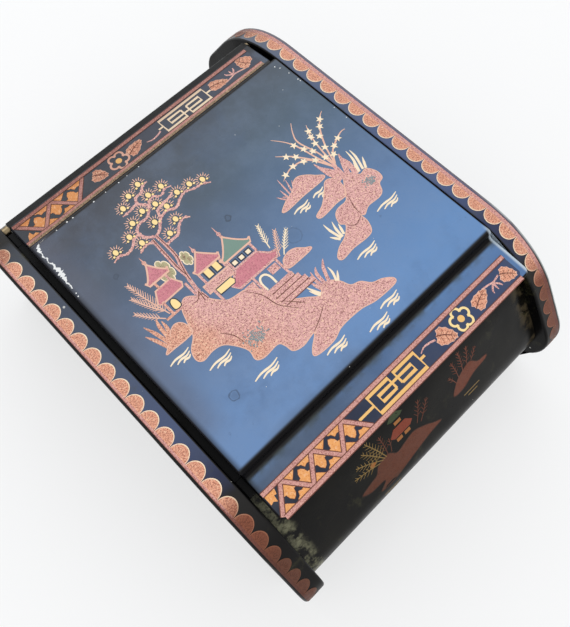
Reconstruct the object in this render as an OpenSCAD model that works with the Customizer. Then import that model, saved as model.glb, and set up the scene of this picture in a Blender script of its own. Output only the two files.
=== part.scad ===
// Lacquered jewelry box: a bellied case between two shaped end boards, closed by a
// raised-panel lid that turns on two pivot pins set in the boards.
// The frame is +Z up with the origin on the table under the middle of the case.
// The front faces -Y. Shapes that run from end to end are drawn in the YZ plane.

/* [Case] */
// Height from the table to the raised panel of the lid
box_h = 100; // [96:1:118]
// Clear width between the two end boards
inner_w = 144.8; // [120:0.2:180]
// Thickness of each end board
board_t = 11; // [8:0.5:14]
// Drop from the lid's raised panel to the top edge of the end boards
board_drop = 3; // [2:0.5:4]
// Radius on the outer edges of the end boards
board_edge_r = 2; // [1:0.25:2.5]
// Radius on the inner edges of the end boards
board_inner_r = 1.2; // [0.5:0.1:1.5]
// Thickness of the felt under the case
felt_t = 1; // [0.5:0.25:2]

/* [Belly profile] */
// Half length of the level top edge of an end board
flat_half = 60; // [54:1:64]
// Radius of the shoulder
shoulder_r = 50; // [48:1:53]
// Slope of the straight flank below the shoulder, in degrees from level
flank_angle = 55; // [50:1:57]
// Length of the straight flank
flank_len = 21; // [16:1:23]
// Radius of the belly
belly_r = 25; // [22:1:26]
// Direction in which the belly turns under, in degrees from level
tuck_angle = 125; // [115:1:127]
// Length of the straight run under the belly
tuck_len = 6; // [3:0.5:8]
// Radius of the hollow above the foot
hollow_r = 18; // [14:1:21]

/* [Walls] */
// Depth of the front and back panels inside the outline of the end boards
panel_inset = 6.3; // [5:0.1:7]
// Thickness of the front and back panels
panel_t = 5; // [3.5:0.5:6]
// Thickness of the cheeks that carry the lid along its ends
cheek_t = 6; // [5.5:0.5:8]
// Thickness of the bottom board
bottom_t = 5; // [4:0.5:7]
// Distance from the middle to the outer face of the front and back rails
rail_out = 76.6; // [74:0.2:78]
// Thickness of the front and back rails
rail_t = 8; // [6:0.5:10]
// Height of the front and back rails
rail_h = 9.5; // [8.5:0.5:11]

/* [Lid] */
// Distance from the middle to the left end of the lid
lid_left = 69.4; // [67:0.1:70.5]
// Distance from the middle to the right end of the lid
lid_right = 70.8; // [67:0.1:71.2]
// Distance from the middle to the front edge of the lid
lid_front = 91.6; // [88:0.2:96]
// Distance from the middle to the front edge of the raised panel
panel_front = 68.1; // [64:0.1:70]
// Distance from the middle to the back edge of the raised panel
panel_back = 56.9; // [52:0.1:58]
// Height of the raised panel over the start of the bands
step_h = 4.2; // [4.2:0.1:4.5]
// Radius of the coves before and behind the raised panel
cove_r = 2.2; // [1.8:0.1:2.3]
// Radius on the front and back edges of the raised panel
panel_edge_r = 1.9; // [1.2:0.1:1.9]
// Radius on the front edges of the lid
lid_edge_r = 1.2; // [1.1:0.05:1.2]
// Radius on the ends of the lid
lid_end_r = 1; // [0.4:0.1:1]
// Radius on the front corners of the lid, seen from above
lid_corner_r = 3; // [1.5:0.25:5]
// Fall of the front band, in degrees
front_fall = 3.4; // [1:0.2:5]
// Fall of the back band, in degrees
back_fall = 7; // [3:0.5:8]
// Clearance under the lid, and between parts that pass each other
gap = 0.3; // [0.2:0.05:0.4]
// Thickness of the locating strips under the lid
strip_t = 4; // [3:0.5:5]
// Depth of the locating strips under the lid
strip_h = 4.5; // [3:0.5:6]

/* [Hinge] */
// Radius of the rounded back edge of the lid, which turns about the pins
nose_r = 2.8; // [2.7:0.1:3]
// Radius of the pivot pins
pin_r = 1.1; // [0.8:0.05:1.2]
// Length of pin held in an end board
pin_grip = 7; // [5:0.5:7.5]
// Length of pin inside a bush
pin_reach = 9; // [6:0.5:12]
// Wall of the bushes
bush_wall = 0.5; // [0.4:0.05:0.6]
// Radius of the collars between lid and boards
collar_r = 2.1; // [1.8:0.05:2.3]

/* [Fittings] */
// Thickness of the velvet on the walls
velvet_t = 1.4; // [1:0.1:2]
// Thickness of the pad on the floor
floor_pad_t = 2.5; // [2:0.25:4]
// Radius of a ring roll
roll_r = 6.2; // [5:0.1:6.8]
// Distance between ring rolls
roll_pitch = 13.4; // [13.4:0.1:14]
// Height of the block under the ring rolls
bank_h = 14; // [10:1:20]
// Thickness of the dividers
divider_t = 3.5; // [3:0.25:5]
// Height of the dividers over the floor pad
divider_h = 34; // [24:1:38]
// Sideways place of the front divider
front_divider_x = 14; // [-30:1:30]
// Depth of the pad under the lid
lid_pad_t = 5.5; // [5:0.25:6]
// Depth of the recess that the pad sits in
lid_recess = 4; // [3:0.25:4]

/* [Hidden] */

LACQUER = "#14161b";
COPPER_LACQUER = "#1d2736";
BRASS = "#b08d3c";
VELVET = "#7c1420";
FELT = "#1f3a2c";

$fn = 48;
ARC_STEPS = 12;     // chords in each arc of the belly profile
EDGE_STEPS = 4;     // chords in a rounded edge
CORNER_STEPS = 8;   // sections in a rounded corner of the lid
SMALL = 0.01;       // overlap that joins two shapes of one solid
RUNNING = 0.05;     // radial clearance of a pin in its bore
ROLLS = 6;          // ring rolls on the bank

// ---- heights and stations that follow from the sizes above ----
board_top = box_h - board_drop;
rim_z = board_top - panel_inset;
lid_under = rim_z + gap;
band_z = box_h - step_h;
inner_half = inner_w / 2;
cheek_in = inner_half - cheek_t;
rail_in = rail_out - rail_t;
rail_under = rim_z - rail_h;
floor_z = felt_t + bottom_t;
pad_top = floor_z + floor_pad_t;

// The belly profile is three arcs joined by straight runs. Each arc has its centre
// here, so an outline set in by any amount keeps the same centres.
shoulder_z = board_top - shoulder_r;
flank_start = [flat_half + shoulder_r * sin(flank_angle), shoulder_z + shoulder_r * cos(flank_angle)];
flank_end = flank_start + flank_len * [cos(flank_angle), -sin(flank_angle)];
belly_c = flank_end - belly_r * [sin(flank_angle), cos(flank_angle)];
belly_end = belly_c + belly_r * [sin(tuck_angle), cos(tuck_angle)];
tuck_end = belly_end + tuck_len * [cos(tuck_angle), -sin(tuck_angle)];
hollow_c = tuck_end + hollow_r * [sin(tuck_angle), cos(tuck_angle)];
foot_y = hollow_c.x - hollow_r;

// The lid turns about an axis that keeps its round back edge clear of rail and panel.
hinge_y = rail_out + nose_r + gap;
panel_shoulder_r = shoulder_r - panel_inset;
hinge_z = shoulder_z + sqrt(pow(panel_shoulder_r + nose_r + gap, 2) - pow(hinge_y - flat_half, 2));
lid_joint_y = rail_out + gap;
strip_in_x = cheek_in - gap - strip_t;
strip_in_y = rail_in - gap - strip_t;
bush_r = pin_r + RUNNING + bush_wall;
bush_len = pin_reach + gap;

// Inner faces of the linings, and the places of what stands on the floor pad.
lining_inset = panel_inset + panel_t + gap;
fit_x = cheek_in - velvet_t - gap;
fit_y = foot_y - lining_inset - velvet_t - gap;
bank_front = fit_y - 2 * gap - 2 * roll_r - (ROLLS - 1) * roll_pitch;
divider_back = bank_front - gap;

// ---- outlines ----
function arc(c, r, from, to, steps = ARC_STEPS) =
    [for (i = [0:steps]) let (a = from + (to - from) * i / steps) c + r * [sin(a), cos(a)]];

function reversed(pts) = [for (i = [len(pts) - 1:-1:0]) pts[i]];

function mirrored(pts) = [for (p = reversed(pts)) [-p.x, p.y]];

// One side of the case from a given angle on the shoulder down to the felt, set in by inset.
function flank(inset, from = 0) = concat(
    arc([flat_half, shoulder_z], shoulder_r - inset, from, flank_angle),
    arc(belly_c, belly_r - inset, flank_angle, tuck_angle),
    arc(hollow_c, -(hollow_r + inset), tuck_angle, 90),
    [[foot_y - inset, felt_t]]);

// The whole end outline, anticlockwise.
function end_outline(inset) = concat(reversed(flank(inset)), mirrored(reversed(flank(inset))));

// The angle on the shoulder at which an outline set in by inset passes the distance y.
function shoulder_angle(inset, y) = asin((y - flat_half) / (shoulder_r - inset));

// The section of a curved skin between two insets, from the distance y on the shoulder down.
function skin(outer, inner, y) = concat(
    flank(outer, shoulder_angle(outer, y)),
    reversed(flank(inner, shoulder_angle(inner, y))));

function unit(v) = v / norm(v);

// An anticlockwise outline with every edge moved inwards by d.
function set_in(pts, d) = let (n = len(pts)) [for (i = [0:n - 1])
    let (a = unit(pts[i] - pts[(i + n - 1) % n]), b = unit(pts[(i + 1) % n] - pts[i]))
    pts[i] + d * [-(a.y + b.y), a.x + b.x] / (1 + a * b)];

// Height of the lid's bands at the distance y behind or before the middle.
function back_band(y) = band_z - (y - panel_back - cove_r - panel_edge_r) * tan(back_fall);
function front_band(y) = band_z - (y - panel_front - cove_r - panel_edge_r) * tan(front_fall);

// Side of the raised panel at the distance y, drawn from the band up to the top.
function panel_side(y) = let (foot = y + panel_edge_r + cove_r) concat(
    [for (a = [0:90 / ARC_STEPS:90]) [foot - cove_r * sin(a), band_z + cove_r * (1 - cos(a))]],
    [for (a = [0:90 / EDGE_STEPS:90]) [y + panel_edge_r * cos(a), box_h - panel_edge_r * (1 - sin(a))]]);

// Outline of the lid where its front edge lies at the distance front.
function lid_outline(front) = concat(
    [[-front + lid_edge_r, lid_under], [lid_joint_y, lid_under], [lid_joint_y, back_band(lid_joint_y)]],
    panel_side(panel_back),
    mirrored(panel_side(panel_front)),
    [for (a = [0:90 / EDGE_STEPS:90])
        [-front + lid_edge_r * (1 - sin(a)), front_band(front) - lid_edge_r * (1 - cos(a))]],
    [[-front, lid_under + lid_edge_r]]);

// Distance from the middle to the lid's end on one side.
function lid_end(side) = side < 0 ? lid_left : lid_right;

// How far a round of radius r keeps back at the distance e from the end of the piece.
function round_back(r, e) = e < r ? r - sqrt(r * r - pow(r - e, 2)) : 0;

// Outline of the lid at the distance e from one of its ends, with the end's radii taken off.
function lid_section(e) =
    set_in(lid_outline(lid_front - round_back(lid_corner_r, e)), round_back(lid_end_r, e));

// ---- shared shapes ----
module along_x(from, to) {
    translate([from, 0, 0]) rotate([90, 0, 90]) linear_extrude(to - from) children();
}

module rod_x(from, to, r, y, z) {
    translate([from, y, z]) rotate([0, 90, 0]) cylinder(r = r, h = to - from);
}

// A solid along X through sections, each given as its place and its outline.
module through(sections) {
    n = len(sections[0][1]);
    last = len(sections) - 1;
    points = [for (s = sections) for (p = s[1]) [s[0], p.x, p.y]];
    sides = [for (k = [0:last - 1]) for (i = [0:n - 1]) let (j = (i + 1) % n)
        [k * n + i, k * n + j, (k + 1) * n + j, (k + 1) * n + i]];
    polyhedron(points, concat(sides,
        [[for (i = [n - 1:-1:0]) i], [for (i = [0:n - 1]) last * n + i]]), convexity = 6);
}

// A slab of an outline along X whose edges are rounded by r_from at one end and r_to at the other.
module rounded_slab(outline, from, to, r_from, r_to) {
    turns = [for (i = [0:EDGE_STEPS]) 90 * i / EDGE_STEPS];
    through(concat(
        [for (a = turns) [from + r_from * (1 - cos(a)), set_in(outline, r_from * (1 - sin(a)))]],
        [for (a = reversed(turns)) [to - r_to * (1 - cos(a)), set_in(outline, r_to * (1 - sin(a)))]]));
}

// ---- case ----
module end_board(side) {
    color(LACQUER) mirror([side < 0 ? 1 : 0, 0, 0]) difference() {
        rounded_slab(end_outline(0), inner_half, inner_half + board_t, board_inner_r, board_edge_r);
        rod_x(inner_half - SMALL, inner_half + pin_grip + RUNNING, pin_r + RUNNING, hinge_y, hinge_z);
    }
}

module cheek(side) {
    color(LACQUER) mirror([side < 0 ? 1 : 0, 0, 0]) along_x(cheek_in, inner_half) {
        polygon(end_outline(panel_inset + panel_t));
        translate([-rail_in, shoulder_z]) square([2 * rail_in, rim_z - shoulder_z]);
    }
}

module curved_panel(side) {
    color(LACQUER) mirror([0, side < 0 ? 1 : 0, 0]) along_x(-inner_half, inner_half)
        polygon(skin(panel_inset, panel_inset + panel_t, rail_out));
}

module rail(side) {
    color(LACQUER) mirror([0, side < 0 ? 1 : 0, 0]) along_x(-inner_half, inner_half)
        difference() {
            translate([rail_in, rail_under]) square([rail_t, rail_h]);
            polygon(end_outline(panel_inset + panel_t + SMALL));
        }
}

module bottom_board() {
    wall = foot_y - panel_inset - panel_t;
    color(LACQUER) translate([-cheek_in, -wall, felt_t]) cube([2 * cheek_in, 2 * wall, bottom_t]);
}

module base_felt() {
    half_x = inner_half + board_t - board_edge_r;
    half_y = foot_y - panel_inset;
    color(FELT) translate([-half_x, -half_y, 0]) cube([2 * half_x, 2 * half_y, felt_t]);
}

// ---- lid ----
module lid_top() {
    pad_x = strip_in_x;
    ends = [for (i = [0:CORNER_STEPS]) lid_corner_r * (1 - cos(90 * i / CORNER_STEPS))];
    color(COPPER_LACQUER) difference() {
        through(concat([for (e = ends) [e - lid_left, lid_section(e)]],
            [for (e = reversed(ends)) [lid_right - e, lid_section(e)]]));
        translate([-pad_x, -strip_in_y, lid_under - SMALL])
            cube([2 * pad_x, strip_in_y + panel_back, lid_recess + SMALL]);
    }
}

// The rail carries the bushes and rounds off the back edge of the lid about the axis.
module lid_hinge_rail() {
    rise = [lid_joint_y - hinge_y, back_band(lid_joint_y) - hinge_z];
    touch = atan2(rise.y, rise.x) - acos(nose_r / norm(rise));
    color(COPPER_LACQUER) difference() {
        along_x(-lid_left, lid_right) {
            translate([hinge_y, hinge_z]) {
                circle(r = nose_r);
                polygon([[0, 0], nose_r * [cos(touch), sin(touch)], rise, [rise.x, lid_under - hinge_z]]);
            }
        }
        for (side = [-1, 1]) mirror([side < 0 ? 1 : 0, 0, 0])
            rod_x(lid_end(side) - bush_len, lid_end(side) + SMALL, bush_r, hinge_y, hinge_z);
    }
}

module lid_cross_strip(side) {
    color(COPPER_LACQUER) mirror([0, side < 0 ? 1 : 0, 0])
        translate([-strip_in_x, strip_in_y, lid_under - strip_h])
            cube([2 * strip_in_x, strip_t, strip_h]);
}

module lid_end_strip(side) {
    half_y = strip_in_y + strip_t;
    color(COPPER_LACQUER) mirror([side < 0 ? 1 : 0, 0, 0])
        translate([strip_in_x, -half_y, lid_under - strip_h]) cube([strip_t, 2 * half_y, strip_h]);
}

module lid_lining() {
    half_x = strip_in_x - gap;
    front = strip_in_y - gap;
    color(VELVET) translate([-half_x, -front, lid_under + lid_recess - lid_pad_t])
        cube([2 * half_x, front + panel_back - gap, lid_pad_t]);
}

// ---- hinge ----
module hinge_pin(side) {
    color(BRASS) mirror([side < 0 ? 1 : 0, 0, 0])
        rod_x(lid_end(side) - pin_reach, inner_half + pin_grip, pin_r, hinge_y, hinge_z);
}

module hinge_sleeve(side, from, to, r) {
    color(BRASS) mirror([side < 0 ? 1 : 0, 0, 0]) difference() {
        rod_x(from, to, r, hinge_y, hinge_z);
        rod_x(from - SMALL, to + SMALL, pin_r + RUNNING, hinge_y, hinge_z);
    }
}

// ---- fittings ----
module floor_lining() {
    color(VELVET) translate([-fit_x, -fit_y, floor_z]) cube([2 * fit_x, 2 * fit_y, floor_pad_t]);
}

module curved_lining(side) {
    half_x = cheek_in - gap;
    color(VELVET) mirror([0, side < 0 ? 1 : 0, 0]) along_x(-half_x, half_x) intersection() {
        polygon(skin(lining_inset, lining_inset + velvet_t, rail_in));
        translate([0, floor_z]) square([foot_y + belly_r, box_h]);
    }
}

module cheek_lining(side) {
    color(VELVET) mirror([side < 0 ? 1 : 0, 0, 0]) along_x(cheek_in - velvet_t, cheek_in)
        intersection() {
            polygon(end_outline(lining_inset + velvet_t + gap));
            translate([-foot_y - belly_r, floor_z])
                square([2 * (foot_y + belly_r), rail_under - floor_z]);
        }
}

module ring_bank() {
    color(VELVET) translate([-fit_x, bank_front, pad_top]) cube([2 * fit_x, fit_y - bank_front, bank_h]);
}

module ring_roll(index) {
    color(VELVET) rod_x(-fit_x, fit_x, roll_r, fit_y - gap - roll_r - (index - 1) * roll_pitch,
        pad_top + bank_h + gap + roll_r);
}

module cross_divider() {
    color(VELVET) translate([-fit_x, divider_back - divider_t, pad_top])
        cube([2 * fit_x, divider_t, divider_h]);
}

module front_divider() {
    front = -fit_y;
    back = divider_back - divider_t - gap;
    color(VELVET) translate([front_divider_x - divider_t / 2, front, pad_top])
        cube([divider_t, back - front, divider_h]);
}

end_board(-1);  // left_end_board
end_board(1);  // right_end_board
cheek(-1);  // left_cheek
cheek(1);  // right_cheek
curved_panel(-1);  // front_panel
curved_panel(1);  // back_panel
rail(-1);  // front_rail
rail(1);  // back_rail
bottom_board();
base_felt();
lid_top();
lid_hinge_rail();
lid_cross_strip(-1);  // lid_front_strip
lid_cross_strip(1);  // lid_back_strip
lid_end_strip(-1);  // lid_left_strip
lid_end_strip(1);  // lid_right_strip
lid_lining();
hinge_pin(-1);  // left_hinge_pin
hinge_pin(1);  // right_hinge_pin
hinge_sleeve(-1, lid_left - bush_len, lid_left, bush_r);  // left_hinge_bush
hinge_sleeve(1, lid_right - bush_len, lid_right, bush_r);  // right_hinge_bush
hinge_sleeve(-1, lid_left + gap, inner_half, collar_r);  // left_hinge_collar
hinge_sleeve(1, lid_right + gap, inner_half, collar_r);  // right_hinge_collar
floor_lining();
curved_lining(-1);  // front_lining
curved_lining(1);  // back_lining
cheek_lining(-1);  // left_lining
cheek_lining(1);  // right_lining
ring_bank();
ring_roll(1);  // ring_roll_1
ring_roll(2);  // ring_roll_2
ring_roll(3);  // ring_roll_3
ring_roll(4);  // ring_roll_4
ring_roll(5);  // ring_roll_5
ring_roll(6);  // ring_roll_6
cross_divider();
front_divider();
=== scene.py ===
"""Lacquered jewelry box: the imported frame, dressed with painted lacquer, velvet and studio light."""
import math
import random

import bmesh
import bpy
from mathutils import Matrix, Vector
from mathutils.geometry import delaunay_2d_cdt


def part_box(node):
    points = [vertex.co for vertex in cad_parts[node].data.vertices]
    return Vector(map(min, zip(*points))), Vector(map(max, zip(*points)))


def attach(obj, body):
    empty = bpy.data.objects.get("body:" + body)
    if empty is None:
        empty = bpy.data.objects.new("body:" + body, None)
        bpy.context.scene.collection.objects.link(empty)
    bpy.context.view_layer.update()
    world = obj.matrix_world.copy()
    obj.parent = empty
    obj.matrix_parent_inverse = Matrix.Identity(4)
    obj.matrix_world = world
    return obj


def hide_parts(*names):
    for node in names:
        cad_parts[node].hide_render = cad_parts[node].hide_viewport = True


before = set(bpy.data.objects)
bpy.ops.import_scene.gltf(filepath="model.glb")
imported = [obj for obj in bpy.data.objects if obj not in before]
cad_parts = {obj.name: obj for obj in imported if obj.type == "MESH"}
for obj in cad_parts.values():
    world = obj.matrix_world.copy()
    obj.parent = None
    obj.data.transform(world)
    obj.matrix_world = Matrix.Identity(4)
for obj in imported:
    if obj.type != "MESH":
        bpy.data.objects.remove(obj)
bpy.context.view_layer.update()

MM = 0.001
TAU = 2 * math.pi


def add_object(name, data):
    """A new object in the scene, from a mesh, a lamp or a camera."""
    thing = bpy.data.objects.new(name, data)
    bpy.context.scene.collection.objects.link(thing)
    return thing


def add_piece(name, mesh, body):
    """A new piece of the jewelry box, which moves with a body."""
    piece = add_object(name, mesh)
    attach(piece, body)
    return piece


# ---------------------------------------------------------------- sizes, in millimetres
def extent(node, axis):
    """Lowest and highest place of a CAD node along an axis (0 x, 1 y, 2 z), in millimetres."""
    low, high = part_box(node)
    return low[axis] / MM, high[axis] / MM


BOX_TOP = extent("lid_top", 2)[1]
BOARD_TOP = extent("left_end_board", 2)[1]
BOARD_IN, BOARD_OUT = extent("right_end_board", 0)
LID_LEFT, LID_RIGHT = -extent("lid_top", 0)[0], extent("lid_top", 0)[1]

# The belly profile as far as paint goes: level top, shoulder arc, straight flank, belly arc down to the tuck.
FLAT_HALF = 60.0
SHOULDER_R = 50.0
FLANK_ANGLE = 55.0
FLANK_LEN = 21.0
BELLY_R = 25.0
TUCK_ANGLE = 125.0
PANEL_INSET = 6.3      # of the front panel, from the end boards' profile

# The lid: raised panel, coves and sloping bands.
PANEL_FRONT = -68.1
PANEL_BACK = 56.9
BAND_Z = 95.8
COVE_R = 2.2
PANEL_EDGE_R = 1.9
LID_EDGE_R = 1.2
FRONT_FALL = 3.4
BACK_FALL = 7.0
BOARD_EDGE_R = 2.0   # rounding of the end boards' edges
FILM = 0.02          # thickness of the paint
LAYER = 0.018        # one coat of paint over another
HEIGHTS = 14         # steps of height within a layer
BETWEEN = 0.5 / HEIGHTS   # share of a layer at which no whole or half layer puts a film


# ---------------------------------------------------------------- materials
def rgb(red, green, blue):
    """A colour given as it shows on screen, 0 to 255, in the linear values that shaders take."""
    return tuple((v / 255 / 12.92 if v < 10.3 else ((v / 255 + 0.055) / 1.055) ** 2.4)
                 for v in (red, green, blue)) + (1.0,)


class Finish:
    """A material's nodes over one Principled shader. Places are in the object's own millimetres.

    A triple stands for a colour as it shows on screen, 0 to 255."""

    def __init__(self, name, **constants):
        self.material = bpy.data.materials.new(name)
        self.material.use_nodes = True
        self.nodes = self.material.node_tree.nodes
        self.links = self.material.node_tree.links
        self.shader = self.nodes["Principled BSDF"]
        for label, value in constants.items():
            self.set(label.replace("_", " "), value)
        self.place = self.nodes.new("ShaderNodeTexCoord").outputs["Object"]

    def feed(self, socket, value):
        """Joins an output to the socket, or sets its constant."""
        if isinstance(value, bpy.types.NodeSocket):
            self.links.new(value, socket)
        else:
            socket.default_value = rgb(*value) if isinstance(value, tuple) else value

    def set(self, label, value):
        self.feed(self.shader.inputs[label], value)

    def maths(self, operation, a, b=0.0):
        node = self.nodes.new("ShaderNodeMath")
        node.operation = operation
        self.feed(node.inputs[0], a)
        self.feed(node.inputs[1], b)
        return node.outputs[0]

    def product(self, first, *others):
        for other in others:
            first = self.maths("MULTIPLY", first, other)
        return first

    def steps(self, value, low, high, start=0.0, end=1.0):
        """Goes smoothly from start to end while value goes from low to high."""
        node = self.nodes.new("ShaderNodeMapRange")
        node.interpolation_type = "SMOOTHSTEP"
        for socket, v in zip(node.inputs[:5], (value, low, high, start, end)):
            self.feed(socket, v)
        return node.outputs["Result"]

    def stretched(self, *scale):
        """The place with its axes scaled, for grain that runs one way."""
        node = self.nodes.new("ShaderNodeMapping")
        self.feed(node.inputs["Vector"], self.place)
        node.inputs["Scale"].default_value = scale
        return node.outputs[0]

    def noise(self, grain, detail=3.0, vector=None, roughness=0.5, distortion=0.0):
        """Noise whose lumps measure about grain millimetres."""
        node = self.nodes.new("ShaderNodeTexNoise")
        self.feed(node.inputs["Vector"], vector or self.place)
        node.inputs["Scale"].default_value = 1 / (grain * MM)
        node.inputs["Detail"].default_value = detail
        node.inputs["Roughness"].default_value = roughness
        node.inputs["Distortion"].default_value = distortion
        return node.outputs["Fac"]

    def cell_distance(self, grain):
        """How far a point lies from the middle of its cell, in cells of about grain millimetres."""
        node = self.nodes.new("ShaderNodeTexVoronoi")
        self.feed(node.inputs["Vector"], self.place)
        node.inputs["Scale"].default_value = 1 / (grain * MM)
        return node.outputs["Distance"]

    def mix(self, share, a, b, blend="MIX"):
        node = self.nodes.new("ShaderNodeMix")
        node.data_type = "RGBA"
        node.blend_type = blend
        for label, value in ((0, share), (6, a), (7, b)):
            self.feed(node.inputs[label], value)
        return node.outputs[2]

    def wash(self, colour, tint, value, low, high, share=1.0, blend="MIX"):
        """The colour, with a share of the tint laid over it while value goes from low to high."""
        return self.mix(self.steps(value, low, high, 0.0, share), colour, tint, blend)

    def ramp(self, value, *stops):
        node = self.nodes.new("ShaderNodeValToRGB")
        self.feed(node.inputs[0], value)
        elements = node.color_ramp.elements
        for k, (at, colour) in enumerate(stops):
            element = elements[k] if k < 2 else elements.new(at)
            element.position, element.color = at, rgb(*colour)
        return node.outputs["Color"]

    def split(self, vector, axis):
        node = self.nodes.new("ShaderNodeSeparateXYZ")
        self.links.new(vector, node.inputs[0])
        return node.outputs[axis]

    def axis(self, which):
        """The place along an axis, in millimetres."""
        return self.maths("DIVIDE", self.split(self.place, which), MM)

    def forward(self, back, front):
        """0 at the place back and 1 at front, both along y in millimetres."""
        return self.product(self.maths("SUBTRACT", back, self.axis("Y")), 1 / (back - front))

    def facing(self, axis):
        """How far the surface faces along an axis: 1 full on, 0 across it."""
        return self.split(self.nodes.new("ShaderNodeTexCoord").outputs["Normal"], axis)

    def lit(self):
        """How far the surface faces up, raised to the right and lowered to the left, most where it leans.
        Colours keyed to it are painted light and shade, lighter to the right.
        """
        upright = self.facing("Z")
        gain = self.steps(upright, 0.93, 0.99, 1.42 * MM, 0.42 * MM)
        return self.maths("ADD", upright, self.product(self.axis("X"), gain))

    def bump(self, height, depth, strength):
        """depth is the relief in millimetres."""
        node = self.nodes.new("ShaderNodeBump")
        node.inputs["Distance"].default_value = depth * MM
        node.inputs["Strength"].default_value = strength
        self.feed(node.inputs["Height"], height)
        self.set("Normal", node.outputs[0])

    def coat(self, colour, gloss, smooth, rough, relief, depth, strength=0.5):
        """Ends a painted finish. gloss and relief are noises: one roughens it from smooth to rough."""
        self.set("Base Color", colour)
        self.set("Roughness", self.steps(gloss, 0.3, 0.7, smooth, rough))
        self.bump(relief, depth, strength)
        return self.material


DUST_CELL = 5.0        # between specks of dust, in millimetres


def dust(finish, colour, amount=0.24):
    """White dust caught in the lacquer. amount sets the specks' size, as a share of their cells."""
    size = finish.product(finish.maths("POWER", finish.noise(9.0, 0), 6.0), amount)
    near = finish.maths("LESS_THAN", finish.cell_distance(DUST_CELL), size)
    return finish.mix(finish.product(near, 0.8), colour, (205, 205, 200))


# The lid's colours where it lies level, at its left and right, from 0 at LID_RUN's back to 1 at its front:
# black lacquer with a painted sky reflection, slate at the back and blue at the front.
LID_RUN = (76, -94)
LID_PAINTED_SHEEN = (
    ((0.00, (20, 18, 17)), (0.02, (26, 24, 23)), (0.045, (54, 56, 64)), (0.15, (68, 72, 82)),
     (0.27, (74, 83, 97)), (0.447, (82, 99, 125)), (0.76, (104, 136, 180)), (0.84, (104, 136, 180)),
     (0.885, (74, 90, 114)), (1.00, (70, 84, 106))),
    ((0.00, (24, 22, 20)), (0.02, (30, 28, 27)), (0.045, (58, 62, 74)), (0.15, (72, 83, 95)),
     (0.27, (72, 90, 107)), (0.565, (90, 122, 164)), (0.76, (98, 137, 186)), (0.84, (98, 137, 186)),
     (0.885, (84, 118, 164)), (1.00, (80, 112, 156))),
)
COVE_SHADE_BANDS = ((-70.3, 1.7), (59.7, 2.0))   # middle of each cove's painted shade along y, and half its black core
COVE_SHADE_REACH = 3.1                      # where the painted shade ends, from that middle
RING_MARKS = (  # middle, radius and strength of each ring
    ((-1.7, 11.1), 1.3, 0.75), ((-52.0, 23.2), 1.0, 0.5), ((-51.0, -46.5), 1.9, 0.55),
    ((12.0, -14.0), 3.4, 0.3))


def ring_mark(finish, colour, x, y, centre, radius, share):
    """A dark ring of old damp on the level lacquer, with a faint stain inside it."""
    off = [finish.maths("SUBTRACT", value, at) for value, at in zip((x, y), centre)]
    away = finish.maths("SQRT", finish.maths("ADD", *(finish.product(value, value) for value in off)))
    away = finish.maths("ADD", away, finish.steps(finish.noise(2.0, 2), 0.3, 0.7, -0.25, 0.25))
    line = finish.steps(finish.maths("ABSOLUTE", finish.maths("SUBTRACT", away, radius)), 0, 0.5, share, 0.0)
    stain = finish.steps(away, 0.5 * radius, radius, 0.35 * share, 0.0)
    mark = finish.product(finish.maths("MAXIMUM", line, stain), finish.steps(finish.facing("Z"), 0.9, 0.99))
    return finish.mix(mark, colour, (50, 60, 74))


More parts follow.
